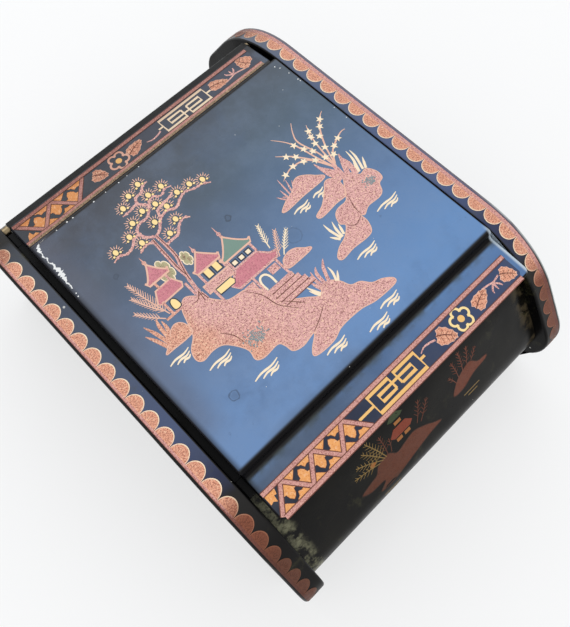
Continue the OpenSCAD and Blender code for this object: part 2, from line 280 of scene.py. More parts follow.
def lacquer_lid():
    """Black lacquer with a painted slate and blue sky reflection where it faces up, painted shade in the
    coves and brown behind the frieze.
    """
    finish = Finish("lid_lacquer_blue")
    x, y, upright = finish.axis("X"), finish.axis("Y"), finish.facing("Z")
    drift = finish.steps(finish.noise(60, 2), 0.2, 0.8, -0.035, 0.035)
    run = finish.maths("ADD", finish.forward(*LID_RUN), drift)
    # Painted sky reflection on the level lacquer, clouded by noise.
    level_sheen = finish.mix(finish.steps(x, -50, 40), *(finish.ramp(run, *side) for side in LID_PAINTED_SHEEN))
    level_sheen = finish.wash(level_sheen, (122, 142, 172), finish.noise(16, 5, roughness=0.65), 0.35, 0.75, 0.20)
    level_sheen = finish.wash(level_sheen, (70, 90, 120), finish.noise(26, 6, roughness=0.7), 0.46, 0.72, 0.26)
    level_sheen = finish.wash(level_sheen, (52, 68, 94), finish.noise(28, 4, distortion=0.6), 0.66, 0.78, 0.40)
    level_sheen = finish.wash(level_sheen, (58, 74, 100), finish.noise(5, 4, roughness=0.7), 0.64, 0.74, 0.36)
    # Painted shade: darker where the lid faces away from up. The painted reflection shows only where it faces
    # up.
    edge = finish.wash((13, 12, 12), (26, 25, 25), upright, 0.30, 0.95)
    colour = finish.wash(edge, level_sheen, upright, 0.86, 0.995)
    # Painted shade laid along the front and back coves.
    for middle, core in COVE_SHADE_BANDS:
        off = finish.maths("ABSOLUTE", finish.maths("SUBTRACT", y, middle))
        colour = finish.wash((20, 19, 20), colour, off, core, COVE_SHADE_REACH)
    # A dusty smudge in the front cove, a greyer left side in the painted reflection, painted shade along the
    # left edge and a painted highlight along the right one.
    smudge = finish.product(finish.steps(finish.noise(5, 3), 0.35, 0.68), finish.steps(y, -76, -72.6),
                            finish.steps(y, -72.4, -71.4, 1.0, 0.0),
                            finish.steps(upright, 0.5, 0.95, 0.0, 0.6))
    colour = finish.mix(smudge, colour, (66, 74, 72))
    side = finish.product(finish.steps(x, -54, -66, 0.0, 0.45), finish.steps(y, -62, -40))
    colour = finish.mix(side, colour, (92, 94, 108))
    colour = finish.wash(colour, (20, 20, 23), x, 3.2 - LID_LEFT, -LID_LEFT, 0.85)
    # Painted highlight along the lid's right front edge.
    painted_highlight = finish.product(finish.steps(x, LID_RIGHT - 2.2, LID_RIGHT - 0.8),
                              finish.steps(y, -71, -64, 0.9, 0.0))
    colour = finish.mix(painted_highlight, colour, (196, 208, 218))
    for mark in RING_MARKS:
        colour = ring_mark(finish, colour, x, y, *mark)
    finish.set("Specular IOR Level", finish.steps(upright, 0.86, 0.99, 0.05, 0.30))
    return finish.coat(dust(finish, colour), finish.noise(22, 4), 0.20, 0.36, finish.noise(1.6, 3), 0.02)


# The same painted sky reflection for the level tops of the left and right boards.
BOARD_RUN = (80, -90)
BOARD_PAINTED_SHEEN = (
    ((0.0, (58, 60, 66)), (0.2, (74, 80, 92)), (0.47, (78, 90, 114)), (0.70, (76, 90, 126)),
     (0.84, (46, 52, 82)), (1.0, (34, 34, 46))),
    ((0.0, (96, 102, 116)), (0.3, (82, 96, 128)), (0.70, (76, 92, 132)), (0.84, (48, 56, 90)),
     (1.0, (34, 34, 46))),
)


def clouded(finish):
    return finish.steps(finish.noise(20, 5, roughness=0.6), 0.35, 0.75)


def board_painted_light(finish, colour):
    """Painted light on a board: a painted slate reflection on its level top, painted shade as it leans and on
    its inner face, and a painted glint on the right one's front corner.
    """
    x, lit = finish.axis("X"), finish.lit()
    side = finish.maths("ABSOLUTE", x)
    run = finish.forward(*BOARD_RUN)
    level = finish.mix(finish.steps(x, -20, 20), *(finish.ramp(run, *stops) for stops in BOARD_PAINTED_SHEEN))
    level = finish.mix(finish.product(clouded(finish), 0.25), level, (96, 104, 122))
    # Painted grey reflection along the rounded outer edge.
    level = finish.wash(level, (112, 100, 106), side, BOARD_OUT - 3, BOARD_OUT - 1, 0.8)
    # Painted shade where the board leans away from up.
    lean = finish.wash((14, 12, 11), (32, 30, 29), lit, 0.60, 0.93)
    colour = finish.wash(colour, lean, lit, 0.30, 0.62)
    colour = finish.wash(colour, level, lit, 0.925, 0.985)
    # Painted shade down the inner face, in the gap beside the lid.
    colour = finish.wash(colour, (3, 3, 4), side, BOARD_IN + 0.9, BOARD_IN + 0.15, 0.9)
    # Painted glint on the right board's rounded outer edge, toward its front.
    painted_glint = finish.product(finish.steps(x, BOARD_OUT - 2.0, BOARD_OUT - 0.9),
                           finish.steps(finish.axis("Y"), -66, -50, 1.0, 0.0),
                           finish.steps(finish.noise(14, 4), 0.30, 0.52),
                           finish.steps(finish.facing("X"), 0.93, 0.998, 0.9, 0.0))
    return finish.mix(painted_glint, colour, (186, 192, 190))


HANDLED = (  # tint, grain of the wear and its range, where along x it starts and is full, its share there
    ((138, 136, 108), 5, (0.42, 0.64), (-64.5, -68.8), 0.8),
    ((96, 84, 62), 7, (0.45, 0.62), (64, 69), 0.5),
)


def handled_case(finish, colour):
    """Brown and grey wear where hands take the case, at the two ends of its front."""
    x = finish.axis("X")
    before = finish.steps(finish.axis("Y"), -60, 0, 1.0, 0.3)
    for tint, grain, wear, (start, full), share in HANDLED:
        handled = finish.product(finish.steps(finish.noise(grain, 6, roughness=0.7), *wear),
                                 finish.steps(x, start, full, 0.0, share), before)
        colour = finish.mix(handled, colour, tint)
    return colour


def black_lacquer(name, age):
    """Black lacquer, clouded, worn and dusty. age(finish, colour) adds what differs."""
    finish = Finish(name)
    lit = finish.lit()
    colour = age(finish, finish.mix(clouded(finish), (6, 5, 4), (19, 17, 12)))
    colour = finish.wash(colour, (74, 72, 48), finish.noise(11, 6, roughness=0.7), 0.56, 0.74, 0.34)
    finish.set("Specular IOR Level", finish.steps(lit, 0.3, 0.95, 0.05, 0.22))
    return finish.coat(dust(finish, colour, 0.6), finish.noise(18, 4), 0.22, 0.40, finish.noise(1.8, 3), 0.02)


def seat_black():
    """Thin unpolished black on the seats of the lid, rubbed where the lid rests."""
    finish = Finish("seat_black", Specular_IOR_Level=0.12)
    rubbed = finish.steps(finish.noise(9, 6, vector=finish.stretched(4, 0.6, 1), roughness=0.65), 0.45, 0.75)
    finish.set("Base Color", dust(finish, finish.mix(rubbed, (9, 9, 10), (26, 24, 22)), 0.1))
    finish.set("Roughness", finish.steps(rubbed, 0, 1, 0.42, 0.6))
    finish.bump(finish.noise(0.9, 3), 0.02, 0.5)
    return finish.material


# Where the salmon paint turns toward each tint of its drift, slantwise across the lid.
DRIFTS = ((-38, -52), (-46, -30))


def paint(name, level_sheen, shaded, most_shaded, fleck=None, amount=0.5, bright=0.35, grain=0.6, drift=()):
    """Paint on lacquer: a painted sheen where it lies level, painted shade as it leans over and toward the
    back, with pounced flecks.
    """
    finish = Finish(name)
    lit, y = finish.lit(), finish.axis("Y")
    # Painted shade deepened toward the back of the lid.
    shade_behind = finish.maths("ADD", finish.steps(y, 56, 64, 0.0, 0.085), finish.steps(y, 71, 75, 0.0, 0.05))
    colour = finish.ramp(finish.maths("SUBTRACT", lit, shade_behind), (0.50, most_shaded), (0.80, shaded), (0.955, level_sheen))
    level = finish.steps(lit, 0.85, 0.98)
    if drift:
        across = finish.maths("ADD", finish.axis("X"), finish.product(y, 0.25))
        across = finish.maths("ADD", across, finish.steps(finish.noise(24, 2), 0.3, 0.7, -7, 7))
        for (start, full), tint in zip(DRIFTS, drift):
            share = finish.product(level, finish.steps(across, start, full, 0.0, 0.7))
            colour = finish.mix(share, colour, tint)
    if fleck:
        dark = finish.product(finish.steps(finish.noise(grain, 2, roughness=0.8), 0.50, 0.60),
                              finish.steps(lit, 0.6, 0.95, 0.5 * amount, amount))
        colour = finish.mix(dark, colour, fleck, "MULTIPLY")
        light = finish.product(finish.steps(finish.noise(grain * 1.7, 2), 0.55, 0.68), level, bright)
        colour = finish.mix(light, colour, (255, 214, 180))
    rubbed = finish.noise(7, 5, roughness=0.7)
    colour = finish.wash(colour, (120, 92, 84), rubbed, 0.58, 0.80, 0.22, "MULTIPLY")
    finish.set("Specular IOR Level", finish.steps(lit, 0.3, 0.95, 0.10, 0.25))
    return finish.coat(colour, finish.noise(3, 3), 0.32, 0.52, finish.noise(0.5, 2), 0.03, 0.6)


def mix_paints():
    # Each paint gives its level colour with painted sheen, then its painted-shade colours as it leans, then
    # its flecks.
    paint("paint_salmon", (226, 168, 154), (140, 76, 58), (84, 46, 28), (134, 92, 98), 0.85, 0.7, 0.43,
          drift=((234, 172, 140), (232, 180, 176)))
    paint("paint_bar", (212, 156, 146), (132, 72, 60), (84, 46, 34), (168, 132, 134), 0.8, 0.25, 0.42)
    paint("paint_coral", (232, 166, 136), (132, 76, 54), (98, 58, 42), (150, 100, 92), 0.8, 0.5, 0.5)
    paint("paint_band", (216, 158, 150), (122, 72, 60), (90, 52, 40), (150, 108, 112), 0.8, 0.4, 0.5)
    paint("paint_rust", (184, 122, 104), (104, 60, 44), (66, 36, 24))
    paint("paint_orange", (238, 168, 102), (186, 112, 60), (126, 62, 36), (214, 176, 150), 0.5, 0.3)
    paint("paint_gold", (242, 192, 118), (186, 128, 72), (148, 90, 42))
    paint("paint_bud", (252, 222, 156), (170, 120, 64), (120, 80, 40))
    paint("paint_line", (232, 184, 162), (160, 100, 76), (110, 66, 46))
    paint("paint_cream", (250, 230, 198), (160, 104, 78), (100, 62, 42))
    paint("paint_rose", (208, 130, 140), (150, 66, 44), (124, 56, 36), (170, 150, 160), 0.5, 0.1)
    paint("paint_green", (120, 146, 134), (70, 84, 56), (48, 54, 34))
    paint("paint_ochre", (178, 170, 132), (128, 104, 62), (136, 110, 62))
    paint("paint_brown", (112, 66, 54), (60, 36, 26), (38, 24, 18))
    paint("paint_olive", (160, 134, 108), (120, 96, 62), (80, 62, 40), (110, 90, 78), 0.7)
    paint("paint_moss", (128, 146, 150), (86, 90, 80), (60, 60, 48))
    paint("bare_gesso", (232, 233, 232), (206, 204, 196), (170, 166, 156))
    ink()


def ink():
    """Dark ground of the friezes, with a painted blue reflection that grows to the right, most at the front.
    """
    finish = Finish("paint_ink", Specular_IOR_Level=0.25)
    x = finish.axis("X")
    front = finish.wash((36, 39, 52), (58, 72, 104), x, -60, 62)
    back = finish.wash((54, 56, 62), (66, 70, 84), x, -60, 62)
    colour = finish.wash(front, back, finish.axis("Y"), -20, 20)
    colour = finish.wash(colour, (78, 82, 94), finish.noise(8, 4), 0.4, 0.7, 0.3)
    return finish.coat(dust(finish, colour), finish.noise(5, 3), 0.28, 0.42, finish.noise(0.8, 2), 0.02, 0.6)


def velvet():
    """Cotton velvet: a short pile that darkens where it leans, over a fine ground weave."""
    finish = Finish("velvet_crimson", Roughness=0.92, Sheen_Weight=0.55, Sheen_Roughness=0.35,
                    Sheen_Tint=(214, 92, 96))
    colour = finish.wash((84, 10, 22), (128, 24, 36), finish.noise(14, 4, distortion=0.8), 0.32, 0.70)
    pile = finish.steps(finish.noise(0.55, 3, roughness=0.7), 0.35, 0.65)
    colour = finish.mix(finish.product(pile, 0.45), colour, (62, 6, 16))
    finish.set("Base Color", finish.wash(colour, (170, 96, 98), finish.noise(2.2, 2), 0.74, 0.80, 0.25))
    finish.bump(finish.maths("ADD", finish.product(pile, 0.6), finish.noise(3.4, 3)), 0.25, 0.7)
    return finish.material


def brass():
    """Drawn brass, dulled and spotted, with turning marks round the pins."""
    finish = Finish("hinge_brass_aged", Metallic=1.0)
    tarnish = finish.steps(finish.noise(5, 5, roughness=0.65), 0.45, 0.72)
    colour = finish.mix(tarnish, (158, 140, 110), (84, 74, 62))
    finish.set("Base Color", finish.wash(colour, (46, 40, 34), finish.noise(1.2, 3), 0.66, 0.74, 0.6))
    finish.set("Roughness", finish.steps(tarnish, 0, 1, 0.28, 0.52))
    finish.bump(finish.noise(0.5, 2, vector=finish.stretched(6, 1, 1)), 0.02, 0.6)
    return finish.material


def felt():
    """Pressed wool felt under the base, matted and a little dusty."""
    finish = Finish("felt_bottle_green", Roughness=0.98, Sheen_Weight=0.25, Sheen_Roughness=0.6)
    fibre = finish.noise(0.9, 6, roughness=0.75, distortion=1.2)
    colour = finish.wash((20, 44, 34), (46, 76, 60), fibre, 0.35, 0.7)
    finish.set("Base Color", finish.wash(colour, (120, 128, 118), finish.noise(2.6, 3), 0.68, 0.76, 0.35))
    finish.bump(fibre, 0.3, 0.8)
    return finish.material


# ---------------------------------------------------------------- surfaces that carry paint
def fall(angle):
    return math.tan(math.radians(angle))


def lid_height(y):
    """Height of the lid's top surface at the distance y, away from the coves."""
    if y > PANEL_BACK:
        return BAND_Z - (y - PANEL_BACK - COVE_R - PANEL_EDGE_R) * fall(BACK_FALL)
    if y < PANEL_FRONT:
        return BAND_Z - (PANEL_FRONT - y - COVE_R - PANEL_EDGE_R) * fall(FRONT_FALL)
    return BOX_TOP


def on_lid(x, y, lift):
    return Vector((x, y, lid_height(y) + lift))


def profile_point(inset, s):
    """Point and outward normal (y, z) on the belly profile, s along it from the start of the shoulder.

    The profile is set in by inset. Negative s runs back along the level top."""
    centre_z = BOARD_TOP - SHOULDER_R
    radius = SHOULDER_R - inset
    angle = math.radians(FLANK_ANGLE)
    if s < 0:
        return Vector((FLAT_HALF + s, centre_z + radius)), Vector((0, 1))
    if s < radius * angle:
        out = Vector((math.sin(s / radius), math.cos(s / radius)))
        return Vector((FLAT_HALF, centre_z)) + radius * out, out
    s -= radius * angle
    out = Vector((math.sin(angle), math.cos(angle)))
    down = Vector((math.cos(angle), -math.sin(angle)))
    start = Vector((FLAT_HALF, centre_z)) + radius * out
    if s < FLANK_LEN:
        return start + s * down, out
    s -= FLANK_LEN
    belly = Vector((FLAT_HALF, centre_z)) + SHOULDER_R * out + FLANK_LEN * down - BELLY_R * out
    turn = angle + min(s / (BELLY_R - inset), math.radians(TUCK_ANGLE) - angle)
    out = Vector((math.sin(turn), math.cos(turn)))
    return belly + (BELLY_R - inset) * out, out


def on_board(side, front):
    """Map for the rim of an end board: a runs along the profile, b inwards from the outer face."""
    def place(a, b, lift):
        point, out = profile_point(0, a)
        x, drop = BOARD_OUT - b, 0.0
        if b < BOARD_EDGE_R:
            turn = math.asin(1 - b / BOARD_EDGE_R)
            x += lift * math.sin(turn)
            drop = (BOARD_EDGE_R + lift) * (1 - math.cos(turn))
        yz = point + (lift - drop) * out
        return Vector((side * x, -yz.x if front else yz.x, yz.y))
    return place


def on_front(x, s, lift):
    """The bellied front panel: x across, s down the profile from the start of the shoulder."""
    point, out = profile_point(PANEL_INSET, s)
    yz = point + lift * out
    return Vector((x, -yz.x, yz.y))


# ---------------------------------------------------------------- brush: flat shapes laid on a surface
def smooth_line(points, steps=6, closed=False):
    """A Catmull-Rom curve through the points."""
    pts = [Vector(p) for p in points]
    count = len(pts)
    out = []
    for i in range(count if closed else count - 1):
        p0 = pts[(i - 1) % count] if closed or i else pts[0]
        p1, p2 = pts[i], pts[(i + 1) % count]
        p3 = pts[(i + 2) % count] if closed or i + 2 < count else p2
        for k in range(steps):
            t = k / steps
            out.append(0.5 * (2 * p1 + (p2 - p0) * t + (2 * p0 - 5 * p1 + 4 * p2 - p3) * t * t
                              + (3 * p1 - p0 - 3 * p2 + p3) * t ** 3))
    if not closed:
        out.append(pts[-1])
    return out


DOT_SIDES = 14


class Painting:
    """Paint films on one surface, gathered into one mesh. layer 0 lies on the lacquer."""

    def __init__(self, name, place, body, cell=0.0):
        self.name, self.place, self.body, self.cell = name, place, body, cell
        self.verts, self.faces, self.marks, self.paints = [], [], [], []
        self.count = 0

    def add(self, flat, faces, paint, layer):
        """Films of a layer differ a little in height, so that no two that overlap lie level."""
        self.count += 1
        lift = FILM + LAYER * (layer + self.count % (HEIGHTS - 1) / HEIGHTS)
        first = len(self.verts)
        solid = [self.place(p[0], p[1], lift) for p in flat]
        for f in faces:
            a, b, c = (solid[i] for i in f[:3])
            out = self.place(flat[f[0]][0], flat[f[0]][1], lift + 1) - a
            turned = f if (b - a).cross(c - a).dot(out) > 0 else f[::-1]
            self.faces.append([first + i for i in turned])
        self.verts += [v * MM for v in solid]
        if paint not in self.paints:
            self.paints.append(paint)
        self.marks += [self.paints.index(paint)] * len(faces)

    def fill(self, outline, paint, layer=0):
        """A flat shape, cut into cells where the surface is curved and the painting has a cell size."""
        flat = [Vector(p[:2]) for p in outline]
        extra = []
        if self.cell:
            xs, ys = [p.x for p in flat], [p.y for p in flat]
            nx, ny = (int((max(v) - min(v)) / self.cell) for v in (xs, ys))
            extra = [Vector((min(xs) + (i + 0.5) * self.cell, min(ys) + (j + 0.5) * self.cell))
                     for i in range(nx) for j in range(ny)]
        loop = list(range(len(flat)))
        verts, _, faces, *_ = delaunay_2d_cdt(flat + extra, [], [loop], 1, 1e-5)
        used = sorted({i for f in faces for i in f})
        index = {old: new for new, old in enumerate(used)}
        self.add([verts[i] for i in used], [[index[i] for i in f] for f in faces], paint, layer)

    def stroke(self, points, width, paint, layer=0, taper=(1, 1), closed=False, crisp=False):
        """A line of the brush's width, or a share of it at its ends: taper. crisp keeps its corners."""
        line = [Vector(p) for p in points] if crisp else smooth_line(points, closed=closed)
        count = len(line)
        flat = []
        for i, p in enumerate(line):
            before = line[(i - 1) % count] if closed or i else line[0]
            after = line[(i + 1) % count] if closed or i + 1 < count else line[-1]
            along = (after - before).normalized()
            share = i / max(1, count - 1)
            half = width / 2 * (taper[0] + (1 - taper[0]) * min(1, 2 * share)) \
                * (taper[1] + (1 - taper[1]) * min(1, 2 - 2 * share))
            if crisp and 0 < i < count - 1 or crisp and closed:
                turn = (line[(i + 1) % count] - p).normalized().dot((p - before).normalized())
                half /= max(0.5, math.sqrt((1 + turn) / 2))
            side = Vector((-along.y, along.x)) * half
            flat += [p + side, p - side]
        faces = [[2 * i + 1, 2 * j + 1, 2 * j, 2 * i]
                 for i in range(count if closed else count - 1) for j in [(i + 1) % count]]
        self.add(flat, faces, paint, layer)

    def shape(self, outline, paint, edge_paint, edge, layer=0):
        """A shape with corners and a painted outline."""
        self.fill(outline, paint, layer)
        self.stroke(outline, edge, edge_paint, layer + 1, closed=True, crisp=True)

    def blob(self, outline, paint, edge_paint, edge, layer=0, steps=6):
        """A smooth closed shape with a painted outline."""
        self.shape(smooth_line(outline, steps, closed=True), paint, edge_paint, edge, layer)

    def dot(self, centre, radius, paint, layer=0, stretch=1.0):
        turns = [TAU * i / DOT_SIDES for i in range(DOT_SIDES)]
        self.fill([(centre[0] + radius * math.cos(t), centre[1] + radius * stretch * math.sin(t))
                   for t in turns], paint, layer)

    def finish(self):
        mesh = bpy.data.meshes.new(self.name)
        mesh.from_pydata(self.verts, [], self.faces)
        for paint in self.paints:
            mesh.materials.append(bpy.data.materials[paint])
        mesh.polygons.foreach_set("material_index", self.marks)
        piece = add_piece(self.name, mesh, self.body)
        shell = piece.modifiers.new("film", "SOLIDIFY")
        shell.thickness = FILM * MM
        shell.offset = -1


# ---------------------------------------------------------------- painted borders of the end boards
RIM_END = 128.0       # how far down the profile a border runs
# For the left and the right board: edge of the base band, height of the cusps (both in from the outer face),
# and for its front and back halves the pitch of the fans and where the first one starts from the middle.
RIMS = {-1: (1.2, 2.4, (8.74, -0.3), (8.74, 0.3)), 1: (2.3, 4.2, (8.62, 0.3), (8.87, -0.3))}
RIM_STEP = 2.0        # between stations along the base band
RIM_SHARES = (0, 0.18, 0.4, 0.7, 1)    # stations across it
FAN_FILL = 0.985      # how much of its pitch a fan fills
FAN_TALL = 1.13       # how far a fan stands out, in its own half widths
FAN = 16              # stations along a fan's edge
FAN_RAYS = range(3, 14, 2)             # the stations that a dark ray points to
FAN_RAY_SPAN = (0.38, 0.84)            # where along the fan's radius a ray starts and ends


def fan_ray(j):
    """From the middle of a fan's foot toward its station j."""
    return Vector((-math.cos(math.pi * j / FAN), math.sin(math.pi * j / FAN)))


def fan_edge(foot, r):
    return [foot + fan_ray(j) * Vector((r, r * FAN_TALL)) for j in range(FAN + 1)]


def paint_fan(border, foot, r):
    """A stippled fan with a cream line along its edge and dark rays from its foot."""
    flat = [p for q in fan_edge(foot, r) for p in (Vector((q.x, foot.y)), q)]
    border.add(flat, [[2 * j, 2 * j + 1, 2 * j + 3, 2 * j + 2] for j in range(FAN)], "paint_coral", 1)
    border.stroke(fan_edge(foot, r - 0.2), 0.42, "paint_cream", 2, taper=(0.35, 0.35), crisp=True)
    low = foot - Vector((0, 0.4))
    for j in FAN_RAYS:
        ray = [low + fan_ray(j) * r * share for share in FAN_RAY_SPAN]
        border.stroke(ray, 0.16, "paint_rust", 2, crisp=True)


def paint_border(side, name):
    """A row of fans on a narrow band, over the level top and both shoulders, from the middle outwards."""
    margin, cusp, *halves = RIMS[side]
    for front, (pitch, start) in zip((True, False), halves):
        border = Painting(f"{name}_border_{'front' if front else 'back'}", on_board(side, front), "case")
        count = int((FLAT_HALF + RIM_END) / RIM_STEP)
        stations = [start - FLAT_HALF + (RIM_END + FLAT_HALF) * k / count for k in range(count + 1)]
        flat = [Vector((a, margin + (cusp + 0.1 - margin) * t)) for a in stations for t in RIM_SHARES]
        width = len(RIM_SHARES)
        faces = [[i * width + j, i * width + j + 1, (i + 1) * width + j + 1, (i + 1) * width + j]
                 for i in range(count) for j in range(width - 1)]
        border.add(flat, faces, "paint_band", 0)
        for k in range(int((RIM_END + FLAT_HALF - start) / pitch)):
            foot = Vector((start - FLAT_HALF + pitch * (k + 0.5), cusp))
            paint_fan(border, foot, pitch / 2 * FAN_FILL)
        border.finish()


# ---------------------------------------------------------------- friezes on the lid's bands
FRIEZE_LEFT = -68.7
FRIEZE_RIGHT = 67.2
BAR = 1.55            # width of the border lines
PANEL_BAR = 2.2       # the same beside the raised panel, at the back
OLIVE_STRIP = 1.3     # the worn strip along that bar
CORNER_CUT = 2.4      # off the front frieze's two near corners

INK_BAND = (  # shares of the way from a triangle's apex to its two other corners
    (0.00, 0.50), (0.02, 0.64), (0.16, 0.60), (0.40, 0.565), (0.49, 0.52), (0.50, 0.41), (0.54, 0.34),
    (0.51, 0.21), (0.62, 0.15), (0.74, 0.0), (0.50, 0.0), (0.44, 0.10), (0.40, 0.15), (0.445, 0.24),
    (0.44, 0.35), (0.39, 0.45), (0.25, 0.45), (0.15, 0.39))


def leafy_triangle(frieze, apex, first, second):
    """An orange triangle cut by a jagged band of ink into three leaves, one in each corner."""
    frieze.fill([apex, first, second], "paint_orange", 1)
    band = [apex + (first - apex) * u + (second - apex) * v for u, v in INK_BAND]
    frieze.shape(band, "paint_ink", "paint_brown", 0.18, 2)


def bar(frieze, a, b, width, layer):
    """A salmon bar with a thin dark line along each edge."""
    frieze.stroke([a, b], width + 0.7, "paint_brown", layer, crisp=True)
    frieze.stroke([a, b], width, "paint_bar", layer + 1, crisp=True)


TEETH = 22
LEAVES = {  # shift from the motif's middle (x, y, and y away from the lid's edge), length, width and turn
    "leaf": (0, 0, -0.3, 7.6, 6.2, -0.7),
    "big_leaf": (0, 0, -0.3, 9.0, 7.0, -0.7),
    "long_leaf": (0, 0, -0.2, 9.6, 5.6, 0.35),
    "low_leaf": (0.3, 0.2, 0, 9.8, 5.6, -0.32),
    "round_leaf": (0, 0.9, 0, 8.0, 7.4, 2.1),
}


def leaf(frieze, x, y, long, wide, turn):
    """A heart-shaped leaf with toothed edges, a pale outline and dark veins, its tip along turn."""
    spin = Matrix.Rotation(turn, 2)

    def at(u, v):
        return Vector((x, y)) + spin @ Vector((u * long, v * wide))
    outline = []
    for i in range(TEETH):
        c, s = math.cos(TAU * i / TEETH), math.sin(TAU * i / TEETH)
        notch = 1 - 0.16 * math.exp(-((c + 1) / 0.12) ** 2)
        reach = (1 + (0.06 if i % 2 else -0.05)) * notch / 2
        outline.append(at((c + 0.12 * c * c) * reach, s * (1 - 0.30 * c) * reach))
    frieze.shape(outline, "paint_coral", "paint_line", 0.24, 1)
    frieze.stroke([at(-0.42, 0), at(0, 0.07), at(0.5, 0)], 0.42, "paint_brown", 2, taper=(1, 0.3))
    for share in (-0.2, 0.05, 0.28):
        for side in (-1, 1):
            vein = [at(share, 0.03), at(share + 0.12, side * 0.30)]
            frieze.stroke(vein, 0.18, "paint_brown", 2, crisp=True)


def stems(frieze, x, y, near):
    """The stems of the round leaf at the back frieze's end."""
    for width, *curve in ((0.6, (-14.8, 1.4), (-13.8, 2.2)), (0.7, (-4.6, 1.8), (-2, 2.4), (1, 2.2))):
        frieze.stroke([(x + dx, y + dy * near) for dx, dy in curve], width, "paint_line", 1)


MEANDER = Vector((26.0, 7.6))   # its length and height
MOUTH = 1.6                     # half the gap in its open side
ARM_IN = 3.9                    # from the frame's end to the spiral's


def meander(frieze, x, y, near):
    """Two square spirals in one frame, open on one side and joined by a bridge, with a stub at each end."""
    wide, colour, stub = (1.08, "paint_gold", 8.0) if near > 0 else (0.95, "paint_cream", 2.6)
    half_l, half_t = MEANDER.x / 2, MEANDER.y / 2 * near
    inner_l, inner_t = half_l - ARM_IN, half_t * 0.36

    def line(*points):
        frieze.stroke([(x + px, y + py) for px, py in points], wide, colour, 2, crisp=True)
    line((-MOUTH, -inner_t), (-MOUTH, half_t), (-half_l, half_t), (-half_l, -half_t),
         (half_l, -half_t), (half_l, half_t), (MOUTH, half_t), (MOUTH, -inner_t))
    for side, end in ((-1, stub), (1, 2.6)):
        mouth, inner, outer = side * MOUTH, side * inner_l, side * half_l
        line((mouth, inner_t), (inner, inner_t), (inner, -inner_t), (mouth, -inner_t))
        line((outer, 0), (outer + side * end, 0))
    line((-MOUTH, inner_t), (MOUTH, inner_t))


def flower(frieze, x, y, near):
    """Five open petals round a gold eye."""
    for k in range(5):
        turn = TAU * k / 5 + near * math.pi / 2
        cx, cy = x + 2.95 * math.cos(turn), y + 2.95 * math.sin(turn)
        turns = [turn + 0.62 * t for t in range(-3, 4)]
        petal = [(cx + 1.95 * math.cos(t), cy + 1.95 * math.sin(t)) for t in turns]
        frieze.stroke(petal, 1.0, "paint_bud" if near > 0 else "paint_line", 2)
    frieze.dot((x, y), 1.5, "paint_gold", 2)


def tendril(frieze, x, y, near):
    curve = ((-4.2, 1.3), (-1.5, 2.3), (1.5, 2.0), (4.0, 1.2))
    frieze.stroke([(x + dx, y + dy * near) for dx, dy in curve], 0.8, "paint_salmon", 1, taper=(0.4, 1))


def twig(frieze, x, y, near):
    """A wavy twig with three thorns."""
    curve = ((-5.0, 2.2), (-2, 1.8), (1, 1.2), (4.5, 1.8))
    frieze.stroke([(x + dx, y + dy * near) for dx, dy in curve], 0.75, "paint_salmon", 1)
    for dx in (-2.0, 0.2, 2.2):
        thorn = ((0.4, 1.0), (dx, -1.0), (dx * 1.2, -2.4))
        frieze.stroke([(x + px, y + py * near) for px, py in thorn], 0.8, "paint_salmon", 1, taper=(1, 0.3))


MOTIFS = {"meander": meander, "flower": flower, "tendril": tendril, "twig": twig, "round_leaf": stems}
FRONT_CORNER = ((0.3, 0.8), (5.2, 0.8), (4.4, 3.2), (3.4, 2.9), (3.0, 5.4), (1.7, 4.4), (0.3, 4.8))
BACK_CORNER = ((1.4, 0.8), (7.6, 0.8), (6.0, 3.0), (4.6, 2.7), (4.0, 5.0), (2.6, 3.6))


def paint_frieze(name, low, high, near, zigzag, order):
    """low and high bound the frieze. near is +1 where the lid's open edge is below it, -1 above.

    zigzag has its left end, half its pitch and its count of corners, order the motifs and their places."""
    frieze = Painting(name, on_lid, "lid")
    cut = CORNER_CUT if near > 0 else 0.0
    frieze.fill([(FRIEZE_LEFT + cut, low), (FRIEZE_RIGHT - cut, low), (FRIEZE_RIGHT, low + cut),
                 (FRIEZE_RIGHT, high), (FRIEZE_LEFT, high), (FRIEZE_LEFT, low + cut)], "paint_ink", 0)
    low_bar = BAR if near > 0 else PANEL_BAR
    bar(frieze, (FRIEZE_LEFT + cut / 2, low), (FRIEZE_RIGHT - cut / 2, low), low_bar, 7)
    bar(frieze, (FRIEZE_LEFT, high), (FRIEZE_RIGHT, high), BAR, 7)
    if near > 0:
        corner = [(FRIEZE_LEFT + dx, high - dy) for dx, dy in FRONT_CORNER]
        inner, outer = low + BAR / 2, high - BAR / 2
    else:
        edge = low - 0.75
        frieze.stroke([(FRIEZE_LEFT, edge), (FRIEZE_RIGHT, edge)], OLIVE_STRIP, "paint_olive", 9, crisp=True)
        corner = [(FRIEZE_LEFT + dx, low + dy) for dx, dy in BACK_CORNER]
        inner, outer = high - BAR / 2, low + BAR / 2
    frieze.fill(corner, "paint_orange", 1)
    start, half_pitch, count = zigzag
    corners = [Vector((start + half_pitch * k, outer if k % 2 else inner)) for k in range(count)]
    for a, b in zip(corners, corners[1:]):
        bar(frieze, a, b, 1.45, 4)
    for before, tip, after in zip(corners, corners[1:], corners[2:]):
        leafy_triangle(frieze, tip, after, before)
    middle = (low + high) / 2
    for kind, x in order:
        if kind in LEAVES:
            dx, dy, away, *form = LEAVES[kind]
            leaf(frieze, x + dx, middle + dy + away * near, *form)
        if kind in MOTIFS:
            MOTIFS[kind](frieze, x, middle, near)
    frieze.finish()


